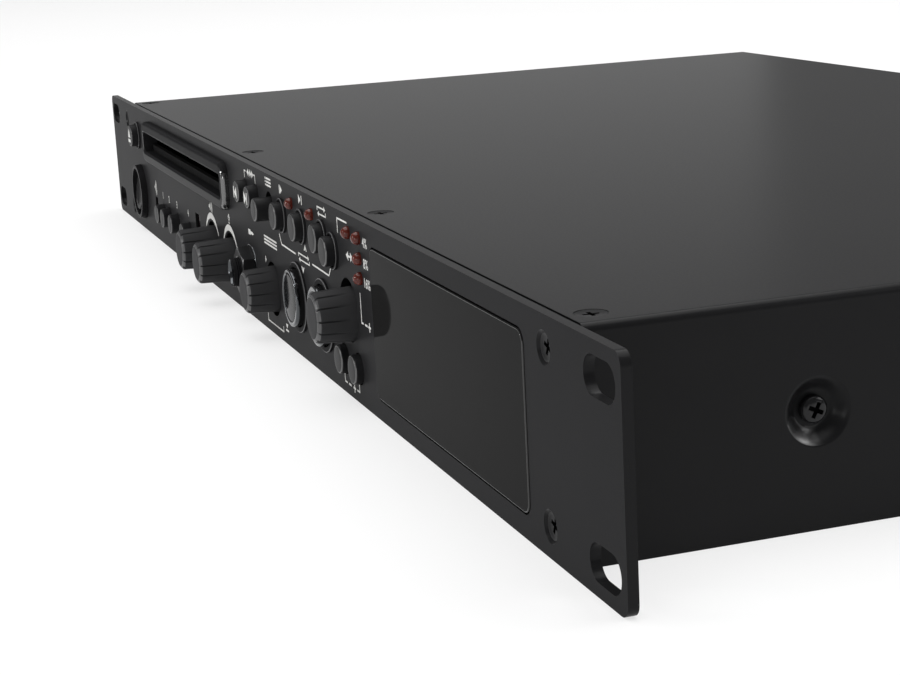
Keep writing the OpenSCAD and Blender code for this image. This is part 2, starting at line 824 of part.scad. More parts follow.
module top_cover() {
  color(soft_black)
    difference() {
      union() {
        along_y(cover_gap, case_d)
          difference() {
            union() {
              translate([-side_half_w, base_z])
                square([case_w, case_top - base_z - bend_r]);
              translate([-side_half_w + bend_r, base_z])
                square([case_w - 2 * bend_r, case_top - base_z]);
              for (side = [-1, 1])
                translate([side * (side_half_w - bend_r), case_top - bend_r])
                  circle(bend_r);
            }
            translate([-side_half_w + sheet_t, base_z - eps])
              square([case_w - 2 * sheet_t, case_top - base_z - bend_r + eps]);
            translate([-side_half_w + bend_r, base_z - eps])
              square([case_w - 2 * bend_r, flange_top - base_z + eps]);
            for (side = [-1, 1])
              translate([side * (side_half_w - bend_r), case_top - bend_r])
                circle(bend_r - sheet_t);
          }
        at_side_screws()
          translate([0, 0, -sheet_t])
            cylinder(h = dimple_d, r1 = dimple_floor_r, r2 = dimple_r);
      }
      at_side_screws() {
        cylinder(h = dimple_d + eps, r1 = dimple_floor_r, r2 = dimple_r);
        translate([0, 0, -sheet_t - eps])
          cylinder(h = sheet_t + 2 * eps, r = screw_r + screw_clear);
      }
      at_cover_screws()
        sunk_hole(sheet_t + eps);
    }
}

module cover_screws() {
  color(soft_black)
    at_cover_screws()
      sunk_screw();
}

module side_screws() {
  color(soft_black)
    at_side_screws()
      pan_screw(screw_l);
}

module slot_bezel() {
  color(black)
    translate([slot_x, 0, slot_z])
      difference() {
        union() {
          hull() {
            along_y(front_y - bezel_out / 2, front_y)
              rounded_rect(bezel_w, bezel_h, bezel_r);
            along_y(front_y - bezel_out, front_y)
              rounded_rect(bezel_w - 2 * bezel_slope, bezel_h - 2 * bezel_slope, bezel_r - bezel_slope);
          }
          along_y(front_y - eps, sleeve_l)
            square([slot_w + 2 * sleeve_wall, slot_h + 2 * sleeve_wall], center = true);
        }
        along_y(front_y - bezel_out - eps, sleeve_l + eps)
          square([slot_w, slot_h], center = true);
      }
}

module slot_felts() {
  color("#101010")
    translate([slot_x, 0, slot_z]) {
      block([-slot_w / 2, sleeve_l - felt_t, -slot_h / 2], [slot_w / 2, sleeve_l, -slot_h / 2 + felt_h]);
      block([-slot_w / 2, sleeve_l, slot_h / 2], [slot_w / 2, sleeve_l + felt_t, slot_h / 2 + sleeve_wall]);
    }
}

module switch_body() {
  place = [switch_x, switch_z];
  pivot_d = front_y + rocker_pivot_d;
  blade_x = switch_body_r / 2;
  color(black)
    difference() {
      union() {
        cone_y(place, front_y - switch_out, front_y, switch_ring_r - press_gap, switch_ring_r);
        rod_y(place, front_y - eps, switch_body_d, switch_body_r);
        for (side = [-1, 1])
          translate([switch_x + side * blade_x, switch_body_d, switch_z])
            block([-sheet_t / 2, -eps, -key_r], [sheet_t / 2, pot_w / 2, key_r]);
      }
      rod_y(place, front_y - switch_out - eps, pivot_d + rocker_bore_r, rocker_bore_r);
      rod_x(switch_x - switch_body_r - eps, switch_x + switch_body_r + eps, pivot_d, switch_z,
            rocker_pin_r + shaft_clear);
    }
}

module power_rocker() {
  pivot_d = front_y + rocker_pivot_d;
  swing_r = rocker_bore_r - press_gap;
  pin_end = switch_body_r - press_gap;
  color(soft_black)
    translate([switch_x, pivot_d, switch_z])
      rotate([-rocker_tilt, 0, 0]) {
        difference() {
          intersection() {
            sphere(swing_r);
            rod_y([0, 0], -rocker_pivot_d - rocker_out, rocker_back, swing_r);
          }
          translate([0, -rocker_pivot_d - rocker_out - rocker_dish_r + rocker_dish_d, 0])
            sphere(rocker_dish_r);
        }
        rod_x(-pin_end, pin_end, 0, 0, rocker_pin_r);
      }
}

module eject_button() {
  color(soft_black)
    push_button([eject[0], eject[1]], eject[2], eject[3]);
}

module small_key(i) {
  color(soft_black)
    push_button([key_x[i], key_z], key_r, key_out);
}

module key_1() small_key(0);
module key_2() small_key(1);
module key_3() small_key(2);
module key_4() small_key(3);

module search_key(i) {
  color(soft_black)
    push_button([search_x[i], search_z], search_r, search_out);
}

module search_back() search_key(0);
module search_forward() search_key(1);

module mode_button() {
  color(soft_black)
    push_button([mode_key[0], mode_key[1]], mode_key[2], mode_key[3], mode_flange_w);
}

module loop_key(i) {
  color(soft_black)
    push_button([loop_x[i], loop_z[i]], loop_r, loop_out);
}

module loop_1() loop_key(0);
module loop_2() loop_key(1);
module loop_3() loop_key(2);
module loop_4() loop_key(3);

// A flat ring that lies on the panel's face
module face_ring(place, inner_r, width, thick) {
  difference() {
    rod_y(place, front_y - thick, front_y, inner_r + width);
    rod_y(place, front_y - thick - eps, front_y + eps, inner_r);
  }
}

module button_collars() {
  color(black) {
    face_ring([eject[0], eject[1]], eject[2] + key_clear, collar_w, collar_t);
    for (i = [0 : len(loop_x) - 1])
      face_ring([loop_x[i], loop_z[i]], loop_r + key_clear, collar_w, collar_t);
  }
}

module cue_button() {
  color(chrome)
    cue_cap([cue_x[0], cue_z]);
}

module play_button() {
  color(chrome)
    cue_cap([cue_x[1], cue_z]);
}

module cue_rings() {
  color(black)
    for (x = cue_x)
      face_ring([x, cue_z], cue_r + key_clear, cue_ring_w, cue_ring_t);
}

module bend_key(i) {
  color(soft_black)
    push_button([bend_x[i], bend_z], bend_key_r, bend_out);
}

module bend_down() bend_key(0);
module bend_up() bend_key(1);

module knob_1() {
  color(soft_black)
    stemmed_knob([knob_x[0], knob_z], knob_r, knob_out);
}

module knob_2() {
  color(soft_black)
    stemmed_knob([knob_x[1], knob_z], knob_r, knob_out);
}

module pitch_knob() {
  color(soft_black)
    stemmed_knob([pitch_x, pitch_z], pitch_r, pitch_out);
}

module encoder_shaft() {
  color(steel)
    rod_y([encoder_x, encoder_z], front_y - encoder_out + 2 * knob_slope, stem_tip_y, stem_r);
}

module encoder_knob() {
  place = [encoder_x, encoder_z];
  bore_y = front_y - encoder_out + 2 * knob_slope - shaft_clear;
  color(soft_black)
    difference() {
      knob_head(place, encoder_r, encoder_out);
      rod_y(place, bore_y, knob_foot_y + eps, stem_r + shaft_clear);
    }
}

module jack_body() {
  place = [jack_x, jack_z];
  half = jack_house_w / 2;
  color(soft_black)
    difference() {
      union() {
        rod_y(place, front_y - jack_out, eps, jack_neck_r);
        block([jack_x - half, 0, jack_z - half], [jack_x + half, jack_house_d, jack_z + half]);
      }
      rod_y(place, front_y - jack_out - eps, jack_house_d - sheet_t, jack_bore_r);
    }
}

module jack_nut() {
  place = [jack_x, jack_z];
  nut_y = front_y - washer_t - nut_t;
  color(black) {
    difference() {
      translate([jack_x, nut_y + nut_t, jack_z])
        rotate([90, 90 - nut_turn, 0])
          cylinder(h = nut_t, r = nut_r, $fn = 6);
      rod_y(place, nut_y - eps, nut_y + nut_t + eps, jack_neck_r + screw_clear);
    }
    difference() {
      rod_y(place, front_y - washer_t, front_y, washer_r);
      rod_y(place, front_y - washer_t - eps, front_y + eps, jack_neck_r + screw_clear);
    }
  }
}

module leds() {
  color("#8a1c1c")
    for (i = [0 : len(led_x) - 1])
      let (place = [led_x[i], led_z[i]]) {
        rod_y(place, front_y - led_out + led_r, led_back, led_r);
        translate([place[0], front_y - led_out + led_r, place[1]])
          sphere(led_r);
        for (side = [-1, 1])
          translate([place[0] + side * led_r / 2, 0, place[1] - led_leg_w / 2])
            block([-led_leg_w / 2, led_back - eps, 0], [led_leg_w / 2, board_y, led_leg_w]);
      }
}

module sensor_windows() {
  color("#120d10")
    for (i = [0 : len(sensor_x) - 1])
      translate([sensor_x[i], 0, sensor_z[i]]) {
        along_y(front_y + sensor_sunk, eps)
          square([sensor_w[i], sensor_h], center = true);
        along_y(0, felt_t)
          square([sensor_w[i] + 2 * press_gap, sensor_h + 2 * press_gap], center = true);
      }
}

module display_window() {
  color("#15171a")
    translate([window_x, 0, 0]) {
      along_y(front_y - window_out, eps)
        rounded_rect(window_w, window_h, window_r);
      along_y(0, window_rim_t)
        rounded_rect(window_w + 2 * window_rim_w, window_h + 2 * window_rim_w, window_r);
    }
}

module display_module() {
  glass_d = module_d / 3;
  color("#20262b")
    translate([window_x, 0, 0]) {
      along_y(window_rim_t, window_rim_t + glass_d)
        square([window_w - 4 * window_r, window_h - 2 * window_r], center = true);
      along_y(window_rim_t + glass_d - eps, window_rim_t + module_d)
        square([window_w, window_h], center = true);
    }
}

module control_board() {
  left_end = -tray_half_w + frame_tab;
  low_z = base_z + frame_lip + sheet_t;
  high_z = flange_under - press_gap;
  column_w = -left_end + slot_x - deck_w / 2 - 2 * cheek_t;
  right_start = slot_x + deck_w / 2 + 3 * cheek_t;
  right_end = window_x - window_w / 2 - 2 * window_rim_w;
  strip_top = deck_z - rod_drop;
  color(board_green)
    along_y(board_y, board_y + board_t)
      difference() {
        union() {
          translate([left_end, low_z])
            square([column_w, high_z - low_z]);
          translate([left_end, low_z])
            square([right_end - left_end, strip_top - low_z]);
          translate([right_start, low_z])
            square([right_end - right_start, high_z - low_z]);
        }
        translate([switch_x, switch_z])
          circle(switch_body_r + key_clear);
        translate([jack_x, jack_z])
          square(jack_house_w + 2 * key_clear, center = true);
      }
}

module key_switches() {
  half = switch_w / 2;
  color(soft_black)
    for (hole = key_holes) {
      translate([hole[0], 0, hole[1]])
        block([-half, board_y - switch_d, -half], [half, board_y, half]);
      rod_y([hole[0], hole[1]], switch_cap_y, board_y - switch_d + eps, cap_r);
    }
}

module pots() {
  half = pot_w / 2;
  color(steel)
    for (place = pot_places)
      difference() {
        translate([place[0], 0, place[1]])
          block([-half, pot_y, -half], [half, board_y, half]);
        rod_y(place, pot_y - eps, stem_tip_y + key_travel + press_gap, stem_r + shaft_clear);
      }
}

module standoffs() {
  color(steel) {
    for (i = [0 : len(stud_x) - 1])
      rod_y([stud_x[i], stud_z[i]], 0, board_y, post_r);
    for (sx = [-1, 1], y = post_y)
      difference() {
        rod_z(slot_x + sx * post_x, y, floor_z, deck_z, pan_head_r);
        rod_z(slot_x + sx * post_x, y, deck_z - 2 * screw_l, deck_z + eps, screw_r + screw_clear);
      }
    for (x = [main_x + post_inset, main_x + main_w - post_inset])
      for (y = [main_y + post_inset, main_y + main_d - post_inset])
        rod_z(x, y, floor_z, floor_z + main_lift, post_r);
  }
}

module main_board() {
  low_z = floor_z + main_lift;
  color(board_green)
    block([main_x, main_y, low_z], [main_x + main_w, main_y + main_d, low_z + board_t]);
}

module board_parts() {
  top_z = floor_z + main_lift + board_t;
  can_step = 3 * can_r;
  chip_w = main_w / 8;
  sink_w = main_w / 3;
  color(soft_black) {
    for (i = [0 : can_count - 1])
      rod_z(main_x + main_w - can_step, main_y + can_step * (i + 1), top_z, top_z + can_h, can_r);
    for (i = [0 : chip_count - 1])
      translate([main_x + chip_w * (2 * i + 1), main_y + main_d / 4, top_z])
        cube([chip_w, chip_w, board_t]);
    for (i = [0 : fin_count - 1])
      translate([main_x + chip_w + i * sink_w / fin_count, main_y + main_d / 2, top_z])
        cube([sheet_t, sink_w, can_h / 2]);
  }
}

module transformer() {
  x1 = tray_half_w - sheet_t - post_inset;
  x0 = x1 - trafo_w;
  y1 = case_d - sheet_t - 2 * inlet_d - post_inset;
  y0 = y1 - trafo_d;
  winding = trafo_d / 5;
  foot = sheet_t * 2;
  color(steel) {
    block([x0, y0 + winding, floor_z], [x1, y1 - winding, floor_z + trafo_h]);
    block([x0 + winding, y0, floor_z + foot], [x1 - winding, y1, floor_z + trafo_h - foot]);
  }
}

// Places along the drive are measured from the middle of the disc
module at_drive() {
  translate([slot_x, disc_y, 0])
    children();
}

module drive_deck() {
  half = deck_w / 2;
  window_y = [lug_y + lug_t - disc_y, rear_lug_y - disc_y];
  lens_room = lens_r + lug_t;
  color(steel)
    difference() {
      union() {
        translate([slot_x, 0, 0]) {
          block([-half, deck_y, deck_z], [half, deck_end, deck_top_z]);
          for (side = [0, 1])
            mirror([side, 0, 0])
              block([cheek_x, cheek_y, deck_z], [half, deck_end, drive_top_z]);
        }
        for (x = [-rail_x, rail_x, lead_x], y = [lug_y, rear_lug_y])
          translate([slot_x + x, y, 0])
            block([-lug_half_w, 0, rail_z - lug_half_w], [lug_half_w, lug_t, deck_z + eps]);
      }
      at_drive() {
        rod_z(0, 0, deck_z - eps, deck_top_z + eps, spindle_hole_r);
        block([-lens_room, window_y[0], deck_z - eps], [lens_room, window_y[1], deck_top_z + eps]);
      }
      for (x = [-rail_x, rail_x])
        rod_y([slot_x + x, rail_z], lug_y - eps, rear_lug_y + lug_t + eps, rod_r + screw_clear / 2);
      rod_y([slot_x + lead_x, rail_z], lug_y - eps, rear_lug_y + lug_t + eps, rod_r + shaft_clear);
      rod_x(slot_x - half - eps, slot_x + half + eps, roller_y, roller_z, roller_shaft_r + shaft_clear);
      for (sx = [-1, 1], y = post_y)
        rod_z(slot_x + sx * post_x, y, deck_z - eps, deck_top_z + eps, screw_r + screw_clear);
    }
}

module drive_top() {
  half = deck_w / 2;
  plate_top = drive_top_z + cheek_t;
  ear_top = pivot_z + barrel_r;
  ear_y = pivot_y - 2 * barrel_r;
  color(steel)
    difference() {
      union() {
        translate([slot_x, 0, 0]) {
          block([-half, cheek_y, drive_top_z], [half, deck_end, plate_top]);
          for (side = [0, 1])
            mirror([side, 0, 0])
              block([ear_gap, ear_y, plate_top - eps], [ear_gap + cheek_t, deck_end, ear_top]);
        }
      }
      at_drive() {
        rod_z(0, 0, drive_top_z - eps, plate_top + eps, puck_r + puck_room);
        block([-ear_gap - press_gap, 0, drive_top_z - eps],
              [ear_gap + press_gap, pivot_y - disc_y - arm_window, plate_top + eps]);
      }
      rod_x(slot_x - half, slot_x + half, pivot_y, pivot_z, pivot_r + shaft_clear);
    }
}

module drive_screws() {
  color(steel)
    for (sx = [-1, 1], y = post_y)
      translate([slot_x + sx * post_x, y, deck_top_z])
        pan_screw(screw_l);
}

module loading_roller() {
  half = roller_w / 2;
  color(black)
    translate([slot_x, roller_y, roller_z])
      rotate([0, 90, 0]) {
        translate([0, 0, -half])
          cylinder(h = half, r1 = roller_r, r2 = roller_waist_r);
        cylinder(h = half, r1 = roller_waist_r, r2 = roller_r);
        translate([0, 0, -deck_w / 2])
          cylinder(h = deck_w + roller_in, r = roller_shaft_r);
      }
}

module loading_motor() {
  x0 = slot_x + deck_w / 2;
  motor_y = roller_y + loader_back;
  box_low = roller_z - roller_r;
  color(steel)
    difference() {
      union() {
        block([x0, cheek_y, box_low], [x0 + gear_w, motor_y + loader_r, drive_top_z]);
        rod_x(x0 + gear_w - eps, x0 + gear_w + loader_l, motor_y, roller_z, loader_r);
      }
      rod_x(x0 - eps, x0 + roller_in + press_gap, roller_y, roller_z, roller_shaft_r + shaft_clear);
    }
}

module spindle_motor() {
  color(steel)
    at_drive()
      difference() {
        rod_z(0, 0, deck_z - motor_h, deck_z, motor_r);
        rod_z(0, 0, deck_z - motor_h + sheet_t, deck_z + eps, spindle_r + shaft_clear);
      }
}

module turntable() {
  low_z = platter_top_z - platter_t;
  color(black)
    at_drive() {
      rod_z(0, 0, low_z, platter_top_z, platter_r);
      translate([0, 0, platter_top_z - eps])
        cylinder(h = cone_h + eps, r1 = cone_r, r2 = cone_r - cone_h / 2);
      rod_z(0, 0, deck_z - motor_h + 2 * sheet_t, low_z + eps, spindle_r);
    }
}

module clamp() {
  barrel_half = arm_w / 2;
  pin_half = ear_gap + cheek_t;
  reach = pivot_y - disc_y;
  color(black)
    at_drive() {
      rod_z(0, 0, path_top_z + puck_gap, arm_z + eps, puck_r);
      block([-arm_w / 2, -puck_r / 2, arm_z], [arm_w / 2, reach, arm_z + arm_t]);
      rod_x(-barrel_half, barrel_half, reach, pivot_z, barrel_r);
      rod_x(-pin_half, pin_half, reach, pivot_z, pivot_r);
    }
}

module guide_rods() {
  color(chrome)
    for (x = [-rail_x, rail_x])
      rod_y([slot_x + x, rail_z], lug_y, rear_lug_y + lug_t, rod_r);
}

module lead_screw() {
  color(chrome)
    rod_y([slot_x + lead_x, rail_z], lug_y, rear_lug_y + lug_t + feed_in, rod_r);
}

module feed_motor() {
  place = [slot_x + lead_x, rail_z];
  start = rear_lug_y + lug_t;
  color(steel)
    difference() {
      rod_y(place, start, start + feed_l, feed_r);
      rod_y(place, start - eps, start + feed_in + press_gap, rod_r + shaft_clear);
    }
}

module pickup_sled() {
  half_d = sled_d / 2;
  half_w = rail_x + 2 * rod_r + sled_half_t / 4;
  arm_end = lead_x + 2 * rod_r;
  lens_top = platter_top_z - platter_t + key_slope;
  color(soft_black)
    translate([slot_x, disc_y + pickup_in, rail_z])
      difference() {
        union() {
          block([-half_w, -half_d, -sled_half_t], [half_w, half_d, sled_half_t]);
          block([0, -half_d / 2, -2 * rod_r], [arm_end, half_d / 2, 2 * rod_r]);
          rod_z(0, 0, 0, lens_top - rail_z, lens_r);
        }
        for (x = [-rail_x, rail_x])
          rod_y([x, 0], -half_d - eps, half_d + eps, rod_r + shaft_clear);
        rod_y([lead_x, 0], -half_d - eps, half_d + eps, rod_r + shaft_clear);
      }
}

module rca_sockets() {
  half = 2 * rca_r - rca_bore_r;
  house_d = 2 * rca_r;
  color(soft_black)
    for (x = rca_x)
      difference() {
        union() {
          rod_y([x, rca_z], wall_y - eps, case_d + rca_out, rca_r);
          rod_y([x, rca_z], case_d, case_d + rca_washer_t, rca_washer_r);
          translate([x, 0, rca_z])
            block([-half, wall_y - house_d, -half], [half, wall_y, half]);
        }
        rod_y([x, rca_z], wall_y - house_d / 2, case_d + rca_out + eps, rca_bore_r);
      }
}

module mains_inlet() {
  mouth_y = case_d + inlet_rim_t;
  floor_y = mouth_y - inlet_d;
  blade_w = 2 * sheet_t;
  blade_step = inlet_w / 2 - inlet_h / 3;
  blades = [[-blade_step, -inlet_h / 8], [0, inlet_h / 8], [blade_step, -inlet_h / 8]];
  color(soft_black)
    translate([inlet_x, 0, rca_z]) {
      difference() {
        union() {
          along_y(floor_y - inlet_wall, mouth_y)
            square([2 * inlet_half[0], 2 * inlet_half[1]], center = true);
          along_y(case_d, mouth_y)
            rounded_rect(2 * (inlet_half[0] + inlet_rim), 2 * (inlet_half[1] + inlet_rim), inlet_rim);
        }
        along_y(floor_y, mouth_y + eps)
          square([inlet_w, inlet_h], center = true);
      }
      for (place = blades)
        translate([place[0], 0, place[1]])
          block([-blade_w / 2, floor_y - eps, -blade_w], [blade_w / 2, floor_y + blade_l, blade_w]);
    }
}

front_panel();
panel_screws();
chassis_tray();
top_cover();
cover_screws();
side_screws();
slot_bezel();
slot_felts();
switch_body();
power_rocker();
eject_button();
key_1();
key_2();
key_3();
key_4();
search_back();
search_forward();
mode_button();
loop_1();
loop_2();
loop_3();
loop_4();
button_collars();
cue_button();
play_button();
cue_rings();
bend_down();
bend_up();
knob_1();
knob_2();
encoder_shaft();
encoder_knob();
pitch_knob();
jack_body();
jack_nut();
leds();
sensor_windows();
display_window();
display_module();
control_board();
key_switches();
pots();
standoffs();
main_board();
board_parts();
transformer();
drive_deck();
drive_top();
drive_screws();
loading_roller();
loading_motor();
spindle_motor();
turntable();
clamp();
guide_rods();
lead_screw();
feed_motor();
pickup_sled();
rca_sockets();
mains_inlet();
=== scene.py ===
import math
import bmesh
import bpy
from mathutils import Matrix, Vector


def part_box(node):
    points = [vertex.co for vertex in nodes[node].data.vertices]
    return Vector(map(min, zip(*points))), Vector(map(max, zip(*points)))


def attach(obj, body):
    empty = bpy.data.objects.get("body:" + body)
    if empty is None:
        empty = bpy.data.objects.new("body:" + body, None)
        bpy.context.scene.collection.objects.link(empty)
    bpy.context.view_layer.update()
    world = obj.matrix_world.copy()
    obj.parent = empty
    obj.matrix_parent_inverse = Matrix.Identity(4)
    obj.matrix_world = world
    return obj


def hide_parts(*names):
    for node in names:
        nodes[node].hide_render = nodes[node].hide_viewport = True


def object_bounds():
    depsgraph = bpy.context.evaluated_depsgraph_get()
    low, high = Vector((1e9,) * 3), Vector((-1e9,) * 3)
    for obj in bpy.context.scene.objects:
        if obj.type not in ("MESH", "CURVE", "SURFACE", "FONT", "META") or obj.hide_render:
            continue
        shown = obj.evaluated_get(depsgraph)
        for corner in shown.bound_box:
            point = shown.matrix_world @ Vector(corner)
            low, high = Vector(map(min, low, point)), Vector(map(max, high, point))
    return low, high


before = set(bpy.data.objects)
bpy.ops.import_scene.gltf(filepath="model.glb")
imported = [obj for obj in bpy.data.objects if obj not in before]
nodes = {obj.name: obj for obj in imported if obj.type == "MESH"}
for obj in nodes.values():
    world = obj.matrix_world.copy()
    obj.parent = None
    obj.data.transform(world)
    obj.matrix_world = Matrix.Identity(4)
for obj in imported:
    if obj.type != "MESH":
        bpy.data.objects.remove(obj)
cad_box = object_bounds()


# Chassis tray: one folded sheet of 1 mm steel that carries every other piece.
# It is powder coated black inside and out, thinner and duller than the cover.
MM = 0.001


def linear(colour):
    """Turns an sRGB hex colour into linear red, green, blue and alpha."""
    parts = [int(colour[i:i + 2], 16) / 255 for i in (1, 3, 5)]
    return tuple(p / 12.92 if p <= 0.04045 else ((p + 0.055) / 1.055) ** 2.4 for p in parts) + (1.0,)


def add_node(tree, kind, inputs=None, **options):
    """Adds a node, sets its options, and fills or links its inputs."""
    node = tree.nodes.new("ShaderNode" + kind)
    for option, value in options.items():
        setattr(node, option, value)
    for socket, value in (inputs or {}).items():
        if isinstance(value, bpy.types.NodeSocket):
            tree.links.new(value, node.inputs[socket])
        else:
            node.inputs[socket].default_value = value
    return node


def new_tree(name):
    """An empty material, its node tree and the piece's own coordinates."""
    material = bpy.data.materials.new(name)
    material.use_nodes = True
    tree = material.node_tree
    tree.nodes.clear()
    return material, tree, add_node(tree, "TexCoord").outputs["Object"]


def grained(name, dark, light, patch, grain, depth, roughness, level=0.5, **shader):
    """Two close tones in soft patches under a fine grain. Patch, grain and depth are in millimetres."""
    material, tree, place = new_tree(name)
    patches = add_node(tree, "TexNoise", {"Vector": place, "Scale": 1 / (patch * MM), "Detail": 3.0})
    grit = add_node(tree, "TexNoise", {"Vector": place, "Scale": 1 / (grain * MM), "Detail": 2.0})
    tone = add_node(tree, "Mix", {0: patches.outputs["Fac"], 6: linear(dark), 7: linear(light)},
                    data_type="RGBA")
    gloss = add_node(tree, "MapRange", {
        "Value": grit.outputs["Fac"], "To Min": roughness[0], "To Max": roughness[1]})
    relief = add_node(tree, "Bump", {"Height": grit.outputs["Fac"], "Distance": depth * MM})
    surface = add_node(tree, "BsdfPrincipled", {
        "Base Color": tone.outputs[2], "Roughness": gloss.outputs["Result"],
        "Normal": relief.outputs["Normal"],
        "Specular IOR Level": level, **shader})
    add_node(tree, "OutputMaterial", {"Surface": surface.outputs["BSDF"]})
    return material


def dress(material, *names):
    """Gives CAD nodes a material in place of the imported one."""
    for name in names:
        nodes[name].data.materials.clear()
        nodes[name].data.materials.append(material)


# Thin powder coat, black, baked on steel: a dull skin with 0.8 mm orange peel.
tray_coat = grained("powder_coat_thin", "#0b0b0c", "#101011", 40, 0.8, 0.012, (0.55, 0.65), level=0.03)
dress(tray_coat, "chassis_tray")


# Standoffs, brackets and screws inside the case: turned or folded steel, zinc plated in a dip.
# The plating is a dull silver with the pale and dark patches of its crystals.
def spangled_zinc():
    """Zinc plating with crystal patches about 5 mm across."""
    crystal = 5
    material, tree, place = new_tree("zinc_plated_steel")
    cells = add_node(tree, "TexVoronoi", {"Vector": place, "Scale": 1 / (crystal * MM)})
    tone = add_node(tree, "Mix", {0: cells.outputs["Color"], 6: linear("#9c9fa3"), 7: linear("#bfc2c5")},
                    data_type="RGBA")
    gloss = add_node(tree, "MapRange", {"Value": cells.outputs["Color"], "To Min": 0.32, "To Max": 0.46})
    surface = add_node(tree, "BsdfPrincipled", {
        "Base Color": tone.outputs[2], "Metallic": 1.0, "Roughness": gloss.outputs["Result"]})
    add_node(tree, "OutputMaterial", {"Surface": surface.outputs["BSDF"]})
    return material


zinc = spangled_zinc()
dress(zinc, "standoffs", "drive_deck", "drive_top", "drive_screws", "pots", "encoder_shaft")


# Transformer: a stack of varnished iron sheets with its winding, screwed to the tray's floor.
# The sheets show as fine lines along the stack, drawn 1 mm apart so that they can be seen.
def laminated_iron():
    """Varnished iron with a line at each sheet."""
    sheet = 1.0
    material, tree, place = new_tree("varnished_laminations")
    lines = add_node(tree, "TexWave", {"Vector": place, "Scale": 1 / (sheet * MM) / 20, "Distortion": 0.3},
                     bands_direction="Y")
    tone = add_node(tree, "Mix", {0: lines.outputs["Fac"], 6: linear("#2e2c2a"), 7: linear("#5a5754")},
                    data_type="RGBA")
    relief = add_node(tree, "Bump", {"Height": lines.outputs["Fac"], "Distance": 0.1 * MM})
    surface = add_node(tree, "BsdfPrincipled", {
        "Base Color": tone.outputs[2], "Roughness": 0.38, "Metallic": 0.6,
        "Normal": relief.outputs["Normal"]})
    add_node(tree, "OutputMaterial", {"Surface": surface.outputs["BSDF"]})
    return material


dress(laminated_iron(), "transformer")


# Circuit boards: glass-epoxy sheet under a green solder mask, 1.6 mm thick, on the standoffs.
# Copper tracks show through the mask as paler lines.
def solder_mask():
    """Green mask with paler tracks."""
    track = 3.0
    material, tree, place = new_tree("solder_mask_on_glass_epoxy")
    tracks = add_node(tree, "TexBrick", {
        "Vector": place, "Scale": 1 / (track * MM) / 4, "Mortar Size": 0.012, "Color1": linear("#1d4b35"),
        "Color2": linear("#1a4530"), "Mortar": linear("#3d7a58")})
    surface = add_node(tree, "BsdfPrincipled", {
        "Base Color": tracks.outputs["Color"], "Roughness": 0.3, "Coat Weight": 0.3})
    add_node(tree, "OutputMaterial", {"Surface": surface.outputs["BSDF"]})
    return material


dress(solder_mask(), "main_board", "control_board")
# Moulded black epoxy of chips, capacitor sleeves and key switches: smooth, with a faint moulding grain.
moulded_epoxy = grained("moulded_epoxy_black", "#17181a", "#222326", 8, 0.3, 0.01, (0.4, 0.55))
dress(moulded_epoxy, "board_parts", "key_switches")


# Motors of the drive: drawn steel cans, nickel plated, pressed over their end bells.
# The plating is bright and a little yellow, with drawing lines too fine to see.
nickel = grained("nickel_plated_can", "#a9a59b", "#bbb7ad", 15, 0.4, 0.004, (0.22, 0.3), Metallic=1.0)
dress(nickel, "spindle_motor", "feed_motor", "loading_motor")


# Rods of the pickup: ground steel, polished by the sled that runs on them.
# The lead screw beside them carries a 1 mm thread, which is drawn here as relief.
ground_steel = grained("ground_steel_rod", "#c6c8ca", "#d3d5d7", 20, 0.2, 0.002, (0.12, 0.2), Metallic=1.0)
dress(ground_steel, "guide_rods")


def threaded_steel():
    """Rolled steel with its thread as relief."""
    pitch = 1.0
    material, tree, place = new_tree("rolled_thread_steel")
    thread = add_node(tree, "TexWave", {"Vector": place, "Scale": 1 / (pitch * MM) / 20},
                      bands_direction="Y")
    tone = add_node(tree, "Mix", {0: thread.outputs["Fac"], 6: linear("#8f9295"), 7: linear("#cfd1d3")},
                    data_type="RGBA")
    relief = add_node(tree, "Bump", {"Height": thread.outputs["Fac"], "Distance": 0.3 * MM})
    surface = add_node(tree, "BsdfPrincipled", {
        "Base Color": tone.outputs[2], "Metallic": 1.0, "Roughness": 0.22,
        "Normal": relief.outputs["Normal"]})
    add_node(tree, "OutputMaterial", {"Surface": surface.outputs["BSDF"]})
    return material


dress(threaded_steel(), "lead_screw")


# Turntable, clamp and pickup sled: moulded in black acetal, which is slippery and slightly waxy.
# The loading roller is soft black rubber on a steel shaft, ground to a waist so that only its ends touch.
acetal = grained("moulded_acetal_black", "#141416", "#1d1d20", 12, 0.35, 0.01, (0.3, 0.42))
dress(acetal, "turntable", "clamp", "pickup_sled")
roller_rubber = grained("ground_rubber_black", "#0c0c0c", "#151515", 6, 0.25, 0.03, (0.7, 0.85))
dress(roller_rubber, "loading_roller")


# Display module: a dark glass panel in a black frame, clipped behind the window.
# Its glass is unlit, a blue black with faint patches of its coating.
dark_glass = grained("unlit_display_glass", "#0d1113", "#12181b", 30, 1.0, 0.001, (0.08, 0.14))
dress(dark_glass, "display_module")


# Front panel: 2 mm sheet steel with punched slots and holes, powder coated black and screwed to the tray.
# The coat rounds every edge, so the copy of the solid gets a small bevel all over.
# The flat front has a finer, duller coat than the edges and the back.
PANEL_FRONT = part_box("front_panel")[0].y / MM
COAT_EDGE = 0.45


def only(piece):
    """Leaves one object selected and active, in object mode."""
    bpy.ops.object.select_all(action="DESELECT")
    piece.select_set(True)
    bpy.context.view_layer.objects.active = piece


def soften(piece, width, segments=2, angle=30):
    """Rounds every edge sharper than the angle. Width is in millimetres."""
    only(piece)
    edge = piece.modifiers.new("rounded_edges", "BEVEL")
    edge.width = width * MM
    edge.segments = segments
    edge.limit_method = "ANGLE"
    edge.angle_limit = math.radians(angle)
    bpy.ops.object.modifier_apply(modifier=edge.name)


